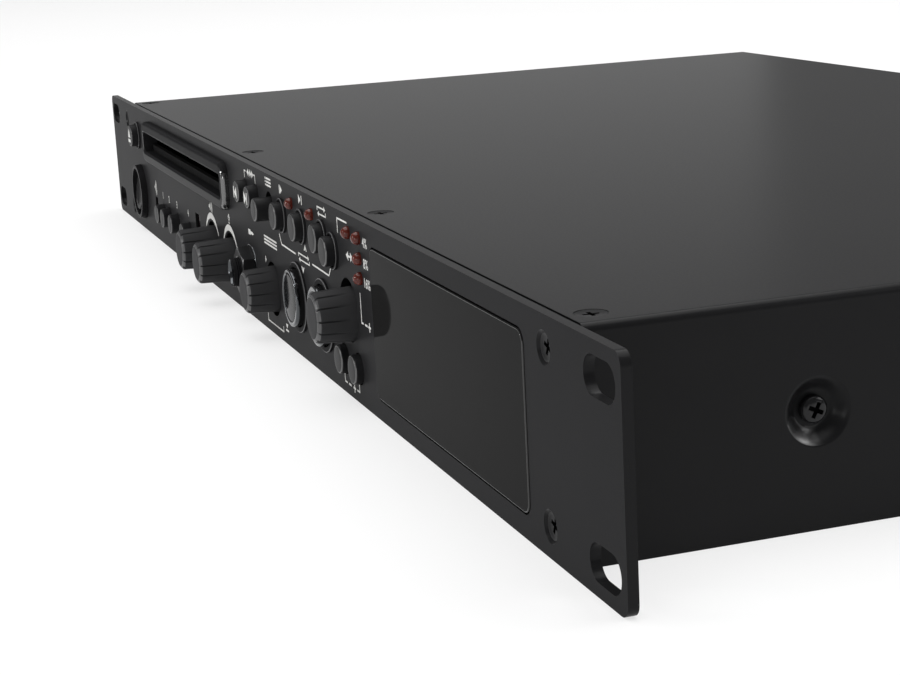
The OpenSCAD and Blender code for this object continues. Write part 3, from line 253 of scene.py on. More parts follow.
def fit_out(piece, material, body, slot, *replaced):
    """Gives a finished piece its material, shading and body, and hides what it stands for. The slot is not
    used.
    """
    piece.data.materials.clear()
    piece.data.materials.append(material)
    only(piece)
    bpy.ops.object.shade_smooth_by_angle(angle=math.radians(40))
    flat = piece.modifiers.new("flat_faces", "WEIGHTED_NORMAL")
    flat.weight = 100
    flat.keep_sharp = True
    bpy.ops.object.modifier_apply(modifier=flat.name)
    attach(piece, body)
    if replaced:
        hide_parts(*replaced)
    return piece


def solid_copy(node, name):
    """A copy of a CAD solid with its triangles merged into whole faces, ready for rounding."""
    piece = bpy.data.objects.new(name, nodes[node].data.copy())
    bpy.context.scene.collection.objects.link(piece)
    only(piece)
    bpy.ops.object.mode_set(mode="EDIT")
    bpy.ops.mesh.select_all(action="SELECT")
    bpy.ops.mesh.remove_doubles(threshold=0.001 * MM)
    bpy.ops.mesh.dissolve_limited(angle_limit=math.radians(0.5))
    bpy.ops.object.mode_set(mode="OBJECT")
    return piece


def coat_where(piece, material, test):
    """Gives the faces of a piece that pass a test a second material."""
    piece.data.materials.append(material)
    for face in piece.data.polygons:
        face.material_index = int(test(face))


# Powder coat on the panel, fine and matte: 0.4 mm grain, and hardly any gloss even at a low angle.
panel_coat = grained("powder_coat_fine", "#272728", "#2b2b2c", 30, 0.4, 0.006, (0.34, 0.4), level=0.008)
# Powder coat, black, baked on steel: a matte skin with 0.6 mm orange peel that turns grey at a low angle.
powder_coat = grained("powder_coat_black", "#171718", "#1b1b1c", 40, 0.6, 0.006, (0.28, 0.34), level=0.1)
panel = solid_copy("front_panel", "panel_sheet")
soften(panel, COAT_EDGE, segments=3)
fit_out(panel, panel_coat, "chassis", "panel_paint", "front_panel")
coat_where(panel, powder_coat, lambda face: face.normal.y > -0.98)


# Slot bezel: a frame moulded in black ABS that clips through the panel round the disc slot.
# The tool is matt on the face, and the round of the right end gets a full gloss as a painted highlight.
BEZEL_R = 4.5
BEZEL_SIDE = 1.0
BEZEL_ROUND = 1.2
BEZEL_MOUTH = (124.5, 6.8)
BEZEL_SLEEVE = (126.9, 9.2)
BEZEL_LIP = 0.5
abs_satin = grained("moulded_abs_satin", "#202021", "#252526", 25, 0.5, 0.003, (0.3, 0.36), level=0.003)
# ABS with a painted highlight: the same black with full gloss and a high IOR, on the round of the right end
# only.
bezel_end_highlight = grained("moulded_abs_painted_end_highlight", "#1e1e1f", "#242425", 25, 1.0, 0.001, (0.14, 0.2),
                    IOR=1.75, level=1.0)
# Painted light: a paler tone with a little more gloss, on the strip below the mouth and on the outer faces
# that face neither up nor right.
abs_painted_light = grained("moulded_abs_painted_light", "#232324", "#282829", 25, 0.5, 0.003, (0.3, 0.36), level=0.012)
low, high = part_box("slot_bezel")
middle = (low + high) / 2
bezel_w, bezel_h = (high.x - low.x) / MM, (high.z - low.z) / MM
face_rise = (PANEL_FRONT * MM - low.y) / MM - BEZEL_SIDE


def settle():
    """Puts the place, turn and scale of what is selected into its mesh."""
    bpy.ops.object.transform_apply(location=True, rotation=True, scale=True)


def pull(depth):
    """Extrudes what is selected in edit mode along Y, in metres."""
    bpy.ops.mesh.extrude_region_move(TRANSFORM_OT_translate={"value": (0, depth, 0)})


def select_at_depth(piece, depth):
    """Selects what lies at one depth of a piece that is open in edit mode."""
    bpy.ops.mesh.select_mode(type="VERT")
    bpy.ops.mesh.select_all(action="DESELECT")
    mesh = bmesh.from_edit_mesh(piece.data)
    for vert in mesh.verts:
        vert.select_set(abs(vert.co.y - depth) < 0.01 * MM)
    mesh.select_flush(True)
    bmesh.update_edit_mesh(piece.data)


bpy.ops.object.select_all(action="DESELECT")
bpy.ops.mesh.primitive_plane_add(size=1, location=(middle.x, PANEL_FRONT * MM, middle.z),
                                 rotation=(math.pi / 2, 0, 0))
bezel = bpy.context.object
bezel.name = "bezel_frame"
bezel.scale = (high.x - low.x, high.z - low.z, 1)
settle()
bpy.ops.object.mode_set(mode="EDIT")
bpy.ops.mesh.bevel(offset=BEZEL_R * MM, segments=8, affect="VERTICES")
pull(-BEZEL_SIDE * MM)
for step in range(6):
    near, far = (math.radians(90 * (step + i) / 6) for i in (0, 1))
    bpy.ops.mesh.inset(thickness=BEZEL_ROUND * (math.cos(near) - math.cos(far)) * MM,
                       depth=face_rise * (math.sin(far) - math.sin(near)) * MM)
bpy.ops.mesh.inset(thickness=((bezel_w - BEZEL_MOUTH[0]) / 2 - BEZEL_ROUND - BEZEL_LIP) * MM, depth=0)
for step in range(4):
    near, far = (math.radians(90 * (step + i) / 4) for i in (0, 1))
    bpy.ops.mesh.inset(thickness=BEZEL_LIP * (math.sin(far) - math.sin(near)) * MM,
                       depth=-BEZEL_LIP * (math.cos(near) - math.cos(far)) * MM)
mouth_share = BEZEL_MOUTH[1] / (bezel_h - bezel_w + BEZEL_MOUTH[0])
bpy.ops.transform.resize(value=(1, 1, mouth_share), center_override=middle)
pull(high.y - low.y - BEZEL_LIP * MM)
bpy.ops.mesh.delete(type="ONLY_FACE")
select_at_depth(bezel, PANEL_FRONT * MM)
bpy.ops.mesh.delete(type="ONLY_FACE")
select_at_depth(bezel, PANEL_FRONT * MM)
pull(0)
bpy.ops.transform.resize(value=(BEZEL_SLEEVE[0] / bezel_w, 1, BEZEL_SLEEVE[1] / bezel_h),
                         center_override=middle)
pull(high.y - PANEL_FRONT * MM)
select_at_depth(bezel, high.y)
bpy.ops.mesh.bridge_edge_loops()
bpy.ops.mesh.select_all(action="SELECT")
bpy.ops.mesh.normals_make_consistent(inside=False)
bpy.ops.object.mode_set(mode="OBJECT")
fit_out(bezel, abs_satin, "chassis", "black_plastic", "slot_bezel")
bezel.data.materials.append(bezel_end_highlight)
bezel.data.materials.append(abs_painted_light)
# Each face: satin, the painted highlight on the right end's round, or the painted light below the mouth and
# on the other outer faces.
for face in bezel.data.polygons:
    across = abs(face.center.x - middle.x) / BEZEL_MOUTH[0]
    above = (face.center.z - middle.z) / BEZEL_MOUTH[1]
    in_mouth = max(across, abs(above)) < 0.501 * MM
    if face.normal.y < -0.95:
        face.material_index = 2 if above < -0.5 * MM else 0
    elif not in_mouth and face.normal.z < 0.3:
        face.material_index = 1 if face.normal.x > 0.2 else 2


# Felt lips of the slot: two strips of black wool felt glued behind the bezel to keep dust out.
# Felt has no gloss, and its fibres make a coarse, soft relief.
wool_felt = grained("wool_felt_black", "#1d1d1d", "#292929", 3, 0.4, 0.2, (0.9, 1.0), level=0.05)
dress(wool_felt, "slot_felts")


# Mains switch: a round snap-in body with a polished ring, and a rocker on two pins inside it.
# Both are moulded in black nylon, and the rocker's face is dished for a finger.
nylon = grained("moulded_nylon_black", "#1a1a1b", "#202021", 20, 0.5, 0.004, (0.2, 0.28), level=0.006)
switch = solid_copy("switch_body", "switch_ring")
soften(switch, 0.35, segments=3)
fit_out(switch, nylon, "chassis", "black_plastic", "switch_body")
rocker = solid_copy("power_rocker", "rocker_paddle")
soften(rocker, 0.3, segments=3)
fit_out(rocker, nylon, "power_rocker", "key_plastic", "power_rocker")


# Push keys: caps moulded in black ABS with a fine matte texture, each on a stem over its switch.
# The face is a shallow crown inside a rounded rim, and a flange behind the panel keeps the cap in.
KEY_FLANGE = 0.6
MODE_FLANGE = 1.6
KEY_FLANGE_BACK = 1.1
KEY_FLANGE_FRONT = 0.3
KEY_STEM = 1.4
KEY_CROWN = 0.08
KEY_ROUND = 0.6


def turned(name, profile, x, z, sides=72, ring=False):
    """Sweeps (radius, depth) points round an axis along Y by extruding and resizing a circle."""
    radius, depth = profile[0]
    bpy.ops.object.select_all(action="DESELECT")
    bpy.ops.mesh.primitive_circle_add(
        vertices=sides, radius=radius * MM, location=(x * MM, depth * MM, z * MM),
        rotation=(math.pi / 2, 0, 0), fill_type="NOTHING" if ring else "NGON")
    piece = bpy.context.object
    piece.name = name
    settle()
    bpy.ops.object.mode_set(mode="EDIT")
    bpy.ops.mesh.select_mode(type="VERT")
    bpy.ops.mesh.select_all(action="SELECT")
    for next_radius, next_depth in profile[1:]:
        ratio = next_radius / radius
        pull((next_depth - depth) * MM)
        bpy.ops.transform.resize(value=(ratio, 1, ratio), center_override=(x * MM, next_depth * MM, z * MM))
        radius, depth = next_radius, next_depth
    bpy.ops.mesh.select_all(action="SELECT")
    bpy.ops.mesh.remove_doubles(threshold=0.001 * MM)
    bpy.ops.mesh.normals_make_consistent(inside=False)
    bpy.ops.object.mode_set(mode="OBJECT")
    return piece


def round_place(node):
    """Across, up, largest radius and front depth of a round CAD node, in millimetres."""
    low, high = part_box(node)
    return (low.x + high.x) / 2 / MM, (low.z + high.z) / 2 / MM, (high.x - low.x) / 2 / MM, low.y / MM


def key_cap(node, flange):
    """A key's cap, flange and stem in one moulding."""
    x, z, flange_r, face = round_place(node)
    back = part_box(node)[1].y / MM
    r = flange_r - flange
    rim = [(r - KEY_ROUND * (1 - math.cos(math.radians(a))),
            face + KEY_CROWN + KEY_ROUND * (1 - math.sin(math.radians(a))))
           for a in range(15, 91, 15)]
    return turned(node + "_cap", [
        (KEY_STEM, back), (KEY_STEM, KEY_FLANGE_BACK), (flange_r, KEY_FLANGE_BACK),
        (flange_r, KEY_FLANGE_FRONT),
        (r, KEY_FLANGE_FRONT), (r, face + KEY_CROWN + KEY_ROUND)] + rim + [
        (0.6 * r, face + 0.3 * KEY_CROWN), (0.3 * r, face)], x, z)


# Key caps: moulded ABS with a spark-eroded matte of 0.25 mm.
key_abs = grained("moulded_abs_matte", "#212122", "#272728", 10, 0.25, 0.008, (0.34, 0.42), level=0.055)
# Rims of the caps: the same ABS a shade paler and with full gloss, a painted highlight.
key_rim_highlight = grained("moulded_abs_painted_rim_highlight", "#2b2b2c", "#313132", 10, 0.25, 0.003, (0.32, 0.4),
                   IOR=1.6, level=1.0)
for key in ("eject_button", "key_1", "key_2", "key_3", "key_4", "search_back", "search_forward",
            "mode_button",
            "loop_1", "loop_2", "loop_3", "loop_4", "bend_down", "bend_up"):
    flange = MODE_FLANGE if key == "mode_button" else KEY_FLANGE
    cap = fit_out(key_cap(key, flange), key_abs, key, "key_plastic", key)
    coat_where(cap, key_rim_highlight, lambda face: -0.95 < face.normal.y < -0.55 and abs(face.normal.z) < 0.6)


# Collars round the eject and loop keys: thin moulded rings pressed on the panel's face.
# Their front rims are narrow, and a pale painted highlight on the outer half of each shows as a fine grey
# line.
COLLAR_GAP = 0.3
COLLAR_W = 0.6
COLLAR_T = 0.75


def face_ring(name, x, z, inner, width, thick):
    """A ring on the panel's face with a rounded front rim."""
    front = PANEL_FRONT - thick
    edge = min(0.2, width / 4)
    return turned(name, [
        (inner, PANEL_FRONT), (inner, front + edge), (inner + 0.3 * edge, front + 0.3 * edge),
        (inner + edge, front),
        (inner + width - edge, front), (inner + width - 0.3 * edge, front + 0.3 * edge),
        (inner + width, front + edge), (inner + width, PANEL_FRONT), (inner, PANEL_FRONT)], x, z, ring=True)


def paint_rim_highlight(ring, x, z, r):
    """Gives the front of a ring a pale painted highlight outside a radius."""
    ring.data.materials.append(collar_rim_highlight)
    for face in ring.data.polygons:
        reach = math.hypot(face.center.x - x * MM, face.center.z - z * MM)
        face.material_index = int(face.normal.y < -0.3 and reach > r * MM)


# Rims: the same ABS in a much paler grey with a little more gloss, a painted highlight.
collar_rim_highlight = grained("moulded_abs_painted_collar_highlight", "#5a5a5b", "#666667", 8, 0.6, 0.002, (0.2, 0.26), level=0.1)
collared = ("eject_button", "loop_1", "loop_2", "loop_3", "loop_4")
for key in collared:
    x, z, flange_r, face = round_place(key)
    inner = flange_r - KEY_FLANGE + COLLAR_GAP
    collar = face_ring(key + "_collar", x, z, inner, COLLAR_W, COLLAR_T)
    fit_out(collar, abs_satin, "chassis", "black_plastic",
            *(["button_collars"] if key == collared[0] else []))
    paint_rim_highlight(collar, x, z, inner + COLLAR_W / 2)


# Cue and play buttons: black caps with a chromed rim pressed on, and a dark acrylic field let into the face.
# Each stands in a moulded ring on the panel.
CUE_FIELD_R = 6.1
CUE_FIELD_D = 0.4
CUE_RIM = 1.0
CUE_RING_W = 1.4
CUE_RING_T = 0.7
chrome = grained("chrome_plate", "#4e5052", "#5a5c5e", 20, 2.0, 0.001, (0.12, 0.18), Metallic=1.0)
dark_acrylic = grained("tinted_acrylic", "#151617", "#1b1c1e", 20, 2.0, 0.001, (0.06, 0.1),
                       IOR=1.49, level=0.05)
for key in ("cue_button", "play_button"):
    x, z, flange_r, face = round_place(key)
    r = flange_r - KEY_FLANGE
    cap = turned(key + "_cap", [
        (KEY_STEM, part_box(key)[1].y / MM), (KEY_STEM, KEY_FLANGE_BACK), (flange_r, KEY_FLANGE_BACK),
        (flange_r, KEY_FLANGE_FRONT), (r - 0.05, KEY_FLANGE_FRONT), (r - 0.05, face + CUE_RIM),
        (CUE_FIELD_R, face + CUE_RIM), (CUE_FIELD_R - 0.1, face + CUE_FIELD_D)], x, z, sides=96)
    fit_out(cap, nylon, key, "key_plastic", key)
    rim = turned(key + "_rim", [
        (CUE_FIELD_R, face + CUE_RIM), (r, face + CUE_RIM), (r, face + 0.45), (r - 0.06, face + 0.25),
        (r - 0.2, face + 0.08), (r - 0.42, face), (CUE_FIELD_R + 0.2, face), (CUE_FIELD_R, face + 0.15),
        (CUE_FIELD_R, face + CUE_RIM)], x, z, sides=96, ring=True)
    fit_out(rim, chrome, key, "bright_plating")
    field = turned(key + "_field", [
        (CUE_FIELD_R - 0.05, face + CUE_FIELD_D), (CUE_FIELD_R - 0.05, face + 0.2),
        (CUE_FIELD_R - 0.2, face + 0.1),
        (0.6 * CUE_FIELD_R, face + 0.03), (0.2 * CUE_FIELD_R, face)], x, z, sides=96)
    fit_out(field, dark_acrylic, key, "window_acrylic")
    ring = face_ring(key + "_ring", x, z, r + COLLAR_GAP, CUE_RING_W, CUE_RING_T)
    fit_out(ring, abs_satin, "chassis", "black_plastic", *(["cue_rings"] if key == "cue_button" else []))
    # The outer edge of the ring's front gets the same painted highlight.
    paint_rim_highlight(ring, x, z, r + COLLAR_GAP + CUE_RING_W - 0.25)


# Knobs: black ABS with a soft matte lacquer, pushed on steel shafts and sunk into the panel's holes.
# Twelve narrow grooves run from the face and fade out towards a plain foot.
GROOVES = 12
GROOVE_SIDES = 12
GROOVE_DEPTH = 0.5
KNOB_FLARE = 0.45
KNOB_SLOPE = 1.1
KNOB_FOOT = -0.8
KNOB_STEM = 3.0
soft_lacquer = grained("soft_lacquer_black", "#363637", "#3e3e3f", 12, 0.3, 0.01, (0.45, 0.55), level=0.02)


def fluted_knob(node):
    """A knob from its foot to its face, with its grooves drawn in by resizing single columns of points."""
    x, z, foot_r, face = round_place(node)
    r = foot_r - KNOB_FLARE
    length = KNOB_FOOT - face
    # depth, radius and share of the full groove depth at each step from foot to face
    steps = [(KNOB_FOOT, foot_r - 0.3, 0), (KNOB_FOOT - 0.1, foot_r - 0.1, 0), (KNOB_FOOT - 0.35, foot_r, 0),
             (KNOB_FOOT - 0.2 * length, foot_r - 0.1, 0), (KNOB_FOOT - 0.3 * length, foot_r - 0.15, 0.4),
             (KNOB_FOOT - 0.6 * length, foot_r - 0.3, 0.8), (face + KNOB_SLOPE, r, 1.0),
             (face + 0.7 * KNOB_SLOPE, r - 0.15, 1.0), (face + 0.35 * KNOB_SLOPE, r - 0.5, 0.7),
             (face + 0.08 * KNOB_SLOPE, r - 0.95, 0.3), (face, r - 1.15, 0), (face + 0.08, 0.5 * r, 0)]
    knob = turned(node + "_shell", [(radius, depth) for depth, radius, share in steps], x, z,
                  sides=GROOVES * GROOVE_SIDES)
    only(knob)
    bpy.ops.object.mode_set(mode="EDIT")
    bpy.ops.mesh.select_mode(type="VERT")
    for depth, radius, share in steps:
        if not share:
            continue
        mesh = bmesh.from_edit_mesh(knob.data)
        for vert in mesh.verts:
            turn = math.degrees(math.atan2(vert.co.z - z * MM, vert.co.x - x * MM)) % (360 / GROOVES)
            at_groove = min(turn, 360 / GROOVES - turn) < 180 / GROOVES / GROOVE_SIDES
            vert.select_set(at_groove and abs(vert.co.y - depth * MM) < 0.01 * MM)
        mesh.select_flush(False)
        bmesh.update_edit_mesh(knob.data)
        ratio = 1 - share * GROOVE_DEPTH / radius
        bpy.ops.transform.resize(value=(ratio, 1, ratio), center_override=(x * MM, depth * MM, z * MM))
    bpy.ops.object.mode_set(mode="OBJECT")
    return knob


# On the slope by the face the lacquer is a paler, glossier copy, a painted highlight.
lacquer_slope_highlight = grained("soft_lacquer_painted_highlight", "#39393a", "#414142", 12, 0.3, 0.002, (0.36, 0.44), level=0.8)
for node in ("knob_1", "knob_2", "encoder_knob", "pitch_knob"):
    knob = fit_out(fluted_knob(node), soft_lacquer, node, "knob_plastic", node)
    coat_where(knob, lacquer_slope_highlight, lambda face: -0.93 < face.normal.y < -0.5 and abs(face.normal.z) < 0.6)
for node in ("knob_1", "knob_2", "pitch_knob"):
    x, z, foot_r, face = round_place(node)
    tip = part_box(node)[1].y / MM
    stem = turned(node + "_stem", [(KNOB_STEM, KNOB_FOOT), (KNOB_STEM, tip - 0.4), (KNOB_STEM - 0.4, tip)],
                  x, z, sides=48)
    fit_out(stem, zinc, node, "zinc_steel")


# Microphone jack: a nylon housing behind the panel, with a threaded black sleeve that comes out through it.
# A blackened hex nut on a thin plated washer holds the sleeve, and a plated lip lines the mouth.
JACK_BORE = 3.25
SLEEVE_R = 4.1
SLEEVE_PITCH = 0.6
LIP_FUNNEL = ((0.43, 0), (0.27, 0.2), (0.13, 0.6), (0.04, 1.2), (0, 1.9), (0, 2.5))
NUT_BORE = 4.2
NUT_R = 7.05
NUT_FACE_R = 6.3
NUT_TURN = -7
WASHER_R = 7.5
WASHER_T = 0.3
low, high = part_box("jack_body")
jack_x = (low.x + high.x) / 2 / MM
jack_z = (low.z + high.z) / 2 / MM
jack_front = low.y / MM
nut_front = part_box("jack_nut")[0].y / MM
nut_back = PANEL_FRONT - WASHER_T


def combine(piece, other, operation):
    """Cuts or trims one piece by another, and removes the other."""
    only(piece)
    cut = piece.modifiers.new("cut", "BOOLEAN")
    cut.operation = operation
    cut.object = other
    cut.solver = "EXACT"
    bpy.ops.object.modifier_apply(modifier=cut.name)
    bpy.data.objects.remove(other)


def block(name, low, high):
    """A box between two corners, in metres, with its place in its mesh."""
    bpy.ops.object.select_all(action="DESELECT")
    bpy.ops.mesh.primitive_cube_add(size=1, location=(Vector(low) + Vector(high)) / 2,
                                    scale=Vector(high) - Vector(low))
    piece = bpy.context.object
    piece.name = name
    settle()
    return piece


housing = block("jack_housing", (low.x, 0, low.z), high)
soften(housing, 0.4)
combine(housing, turned("jack_bore", [(JACK_BORE, -1), (JACK_BORE, high.y / MM - 1)], jack_x, jack_z),
        "DIFFERENCE")
fit_out(housing, nylon, "chassis", "black_plastic", "jack_body")
thread = [(SLEEVE_R - (0.18 if step % 2 else 0), nut_front - step * SLEEVE_PITCH / 2) for step in range(6)]
sleeve = turned("jack_sleeve", [(JACK_BORE, 2.0), (SLEEVE_R, 2.0)] + thread + [
    (SLEEVE_R - 0.18, jack_front + 0.2), (SLEEVE_R - 0.3, jack_front)] + [
    (JACK_BORE + wide, jack_front + deep) for wide, deep in LIP_FUNNEL] + [
    (JACK_BORE, 2.0)], jack_x, jack_z, sides=64, ring=True)
fit_out(sleeve, nylon, "chassis", "black_plastic")
sleeve.data.materials.append(chrome)
for face in sleeve.data.polygons:
    reach = math.hypot(face.center.x / MM - jack_x, face.center.z / MM - jack_z)
    face.material_index = int(reach < JACK_BORE + 0.4
                              and face.center.y < (jack_front + LIP_FUNNEL[-1][1]) * MM)
bpy.ops.object.select_all(action="DESELECT")
bpy.ops.mesh.primitive_cylinder_add(
    vertices=6, radius=NUT_R * MM, depth=(nut_back - nut_front) * MM,
    location=(jack_x * MM, (nut_front + nut_back) / 2 * MM, jack_z * MM),
    rotation=(math.pi / 2, math.radians(NUT_TURN), 0))
nut = bpy.context.object
nut.name = "jack_hex_nut"
settle()
blank = turned("nut_blank", [
    (NUT_BORE, nut_back + 0.1), (NUT_BORE, nut_front + 0.3), (NUT_BORE + 0.3, nut_front - 0.01),
    (NUT_FACE_R, nut_front - 0.01),
    (NUT_R + 0.1, nut_front + 0.45), (NUT_R + 0.1, nut_back + 0.1), (NUT_BORE, nut_back + 0.1)],
    jack_x, jack_z, ring=True)
combine(nut, blank, "INTERSECT")
soften(nut, 0.12)
# Black oxide on steel: a thin oily film, dark, with a faint grey on the edges.
black_oxide = grained("black_oxide_steel", "#1a1a1b", "#222223", 3, 0.3, 0.01, (0.3, 0.4), level=0.1)
fit_out(nut, black_oxide, "chassis", "black_plastic", "jack_nut")
# Front chamfer of the nut: a paler, glossier copy of the film, a painted highlight.
nut_chamfer_highlight = grained("black_oxide_painted_highlight", "#2c2c2d", "#343435", 3, 0.3, 0.004, (0.3, 0.38),
                       IOR=1.6, level=1.0)
coat_where(nut, nut_chamfer_highlight, lambda face: -0.97 < face.normal.y < -0.15)
washer = turned("jack_washer", [
    (NUT_BORE, PANEL_FRONT), (NUT_BORE, nut_back), (WASHER_R - 0.28, nut_back),
    (WASHER_R - 0.12, nut_back + 0.04),
    (WASHER_R - 0.03, nut_back + 0.13), (WASHER_R, nut_back + 0.28), (WASHER_R, PANEL_FRONT),
    (NUT_BORE, PANEL_FRONT)], jack_x, jack_z, ring=True)
fit_out(washer, chrome, "chassis", "bright_plating")


# Lamps: 3 mm diodes in clear red epoxy with a domed end, pushed through the panel.
# Unlit, they are a deep brown red that glows a little where light passes through.
LED_R = 1.5
LED_OUT = 1.8
LED_BACK = 2.0
led_places = [(35.5, 17.4), (55.5, 17.4), (88, 17.8), (96.3, 17.8), (96.3, 13.1), (96.3, 8.6)]
red_epoxy = grained("red_epoxy_lens", "#501d16", "#60281e", 2, 0.6, 0.002, (0.03, 0.06),
                    level=0.3, IOR=1.55, **{"Subsurface Weight": 0.15,
                                            "Subsurface Radius": (0.0012, 0.0003, 0.0002)})
for number, (x, z) in enumerate(led_places, 1):
    tip = PANEL_FRONT - LED_OUT
    dome = [(LED_R * math.cos(math.radians(a)), tip + LED_R - LED_R * math.sin(math.radians(a)))
            for a in (0, 15, 30, 45, 60, 72, 82, 88)]
    lamp = turned("lamp_%d" % number, [(LED_R, LED_BACK)] + dome, x, z, sides=48)
    fit_out(lamp, red_epoxy, "chassis", "red_lens", *(["leds"] if number == 1 else []))


# Sensor windows: two small tinted lenses set a little below the panel's face.
# They are polished acrylic, almost black.
sensor_acrylic = grained("sensor_acrylic", "#0c090a", "#120d0f", 6, 1.0, 0.001, (0.06, 0.1), level=0.01)
lenses = solid_copy("sensor_windows", "sensor_lenses")
soften(lenses, 0.15)
fit_out(lenses, sensor_acrylic, "chassis", "sensor_lens", "sensor_windows")


# Display window: a plate of smoke-tinted acrylic with polished edges, set flush in the panel.
# It is as dark as the panel but mirror smooth, so the pitch knob shows in it.
smoke_acrylic = grained("smoke_acrylic", "#1e1e1e", "#222222", 60, 6.0, 0.0005, (0.03, 0.05),
                        IOR=1.49, level=0.006)
window = solid_copy("display_window", "window_plate")
soften(window, 0.25, segments=3)
fit_out(window, smoke_acrylic, "chassis", "window_acrylic", "display_window")
# Edge of the plate at its sides and foot: the same acrylic with its full gloss, and a little paler as a
# painted highlight.
acrylic_edge_highlight = grained("smoke_acrylic_painted_edge", "#202020", "#262626", 20, 2.0, 0.0005, (0.08, 0.12), IOR=1.49)
coat_where(window, acrylic_edge_highlight, lambda face: -0.98 < face.normal.y < -0.05 and face.normal.z < 0.3)


# Screws of the panel, the cover and its sides: cold-headed steel with a cross recess, turned in by hand.
# The countersunk ones sit a little below the sheet, and the side ones have tall round pan heads.
SCREW_R = 1.5
HEAD_R = 3.1
SCREW_L = 3.4
PAN_R = 2.6
PAN_H = 1.9
RECESS_W = 0.8
RECESS_D = 1.3
COVER_SCREWS = (-208.5, -43.5, 84.5, 208.5)
SIDE_SCREWS = (46.3, 208)
# Floor and walls of the recesses: painted shade, a near-black copy of the steel.
recess_painted_shade = grained("black_oxide_painted_shade", "#060606", "#0c0c0c", 3, 0.3, 0.01, (0.5, 0.6), level=0.02)


def cross_screw(name, profile, face, reach):
    """A screw along Y whose head faces forward, with a cross cut into the face."""
    screw = turned(name, profile, 0, 0, sides=48)
    for wide, tall in ((reach, RECESS_W / 2), (RECESS_W / 2, reach)):
        arm = block("recess_arm", (-wide * MM, (face - 1) * MM, -tall * MM),
                    (wide * MM, (face + RECESS_D) * MM, tall * MM))
        combine(screw, arm, "DIFFERENCE")
    soften(screw, 0.08)
    # The faces inside the cross are marked for the painted shade.
    for mark in screw.data.polygons:
        across, up = sorted((abs(mark.center.x), abs(mark.center.z)))
        in_cross = across < (RECESS_W / 2 + 0.05) * MM and up < (reach + 0.05) * MM
        below = abs(mark.normal.y) < 0.5 or mark.center.y > (face + RECESS_D - 0.1) * MM
        mark.material_index = int(in_cross and below and mark.center.y < (face + RECESS_D + 0.05) * MM)
    return screw


def copy_to(model, name, place, turn):
    """A copy of a model along Y, turned and moved to a place in metres, with that place in its mesh."""
    piece = bpy.data.objects.new(name, model.data.copy())
    bpy.context.scene.collection.objects.link(piece)
    piece.location = place
    piece.rotation_euler = turn
    only(piece)
    settle()
    return piece


def drive_in(model, material, node, places):
    """Copies a screw to each place and turns its head the right way."""
    for number, (place, turn) in enumerate(places, 1):
        screw = copy_to(model, "%s_%d" % (node, number), place, turn)
        in_recess = [face.material_index for face in screw.data.polygons]
        fit_out(screw, material, "chassis", "black_screw", *([node] if number == 1 else []))
        # The marked recess faces take the painted shade.
        screw.data.materials.append(recess_painted_shade)
        screw.data.polygons.foreach_set("material_index", in_recess)


def sunk_screw(sink, dish):
    """A countersunk screw whose head lies some way below the sheet, with a dished face."""
    cone = HEAD_R - SCREW_R
    r = HEAD_R - sink
    return cross_screw("sunk_screw_model", [
        (SCREW_R - 0.4, cone + SCREW_L), (SCREW_R, cone + SCREW_L - 0.4), (SCREW_R, cone), (r, sink),
        (r - 0.2, sink), (r - 0.5, sink + 0.4 * dish), (r - 1.0, sink + 0.8 * dish), (0.6, sink + dish)],
        sink, HEAD_R / 2)


low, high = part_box("panel_screws")
deep_screw = sunk_screw(0.5, 0.35)
drive_in(deep_screw, black_oxide, "panel_screws", [
    ((x, low.y, z), (0, math.radians(20), 0)) for x in (low.x + HEAD_R * MM, high.x - HEAD_R * MM)
    for z in (low.z + HEAD_R * MM, high.z - HEAD_R * MM)])
bpy.data.objects.remove(deep_screw)
# Black zinc on steel: dark and smooth, with small bright glints on the edges of the head.
black_zinc = grained("black_zinc_steel", "#161617", "#1e1e1f", 3, 0.3, 0.004, (0.12, 0.2), level=0.25)
low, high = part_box("cover_screws")
cover_places = [((x * MM, (low.y + high.y) / 2, high.z), (-math.pi / 2, 0, 0)) for x in COVER_SCREWS]
flush_screw = sunk_screw(0.12, 0.1)
drive_in(flush_screw, black_oxide, "cover_screws", cover_places)
bpy.data.objects.remove(flush_screw)
pan_screw = cross_screw("pan_screw_model", [
    (SCREW_R - 0.4, SCREW_L), (SCREW_R, SCREW_L - 0.4), (SCREW_R, 0), (PAN_R - 0.1, 0), (PAN_R, -0.1),
    (PAN_R, -0.5 * PAN_H), (0.97 * PAN_R, -0.66 * PAN_H), (0.88 * PAN_R, -0.82 * PAN_H),
    (0.74 * PAN_R, -0.92 * PAN_H),
    (0.5 * PAN_R, -0.98 * PAN_H), (0.25 * PAN_R, -PAN_H)], -PAN_H, 0.58 * PAN_R)
low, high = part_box("side_screws")
drive_in(pan_screw, black_zinc, "side_screws", [
    ((side * (high.x - PAN_H * MM), y * MM, (low.z + high.z) / 2), (0, math.radians(25), side * math.pi / 2))
    for side in (-1, 1) for y in SIDE_SCREWS])
bpy.data.objects.remove(pan_screw)


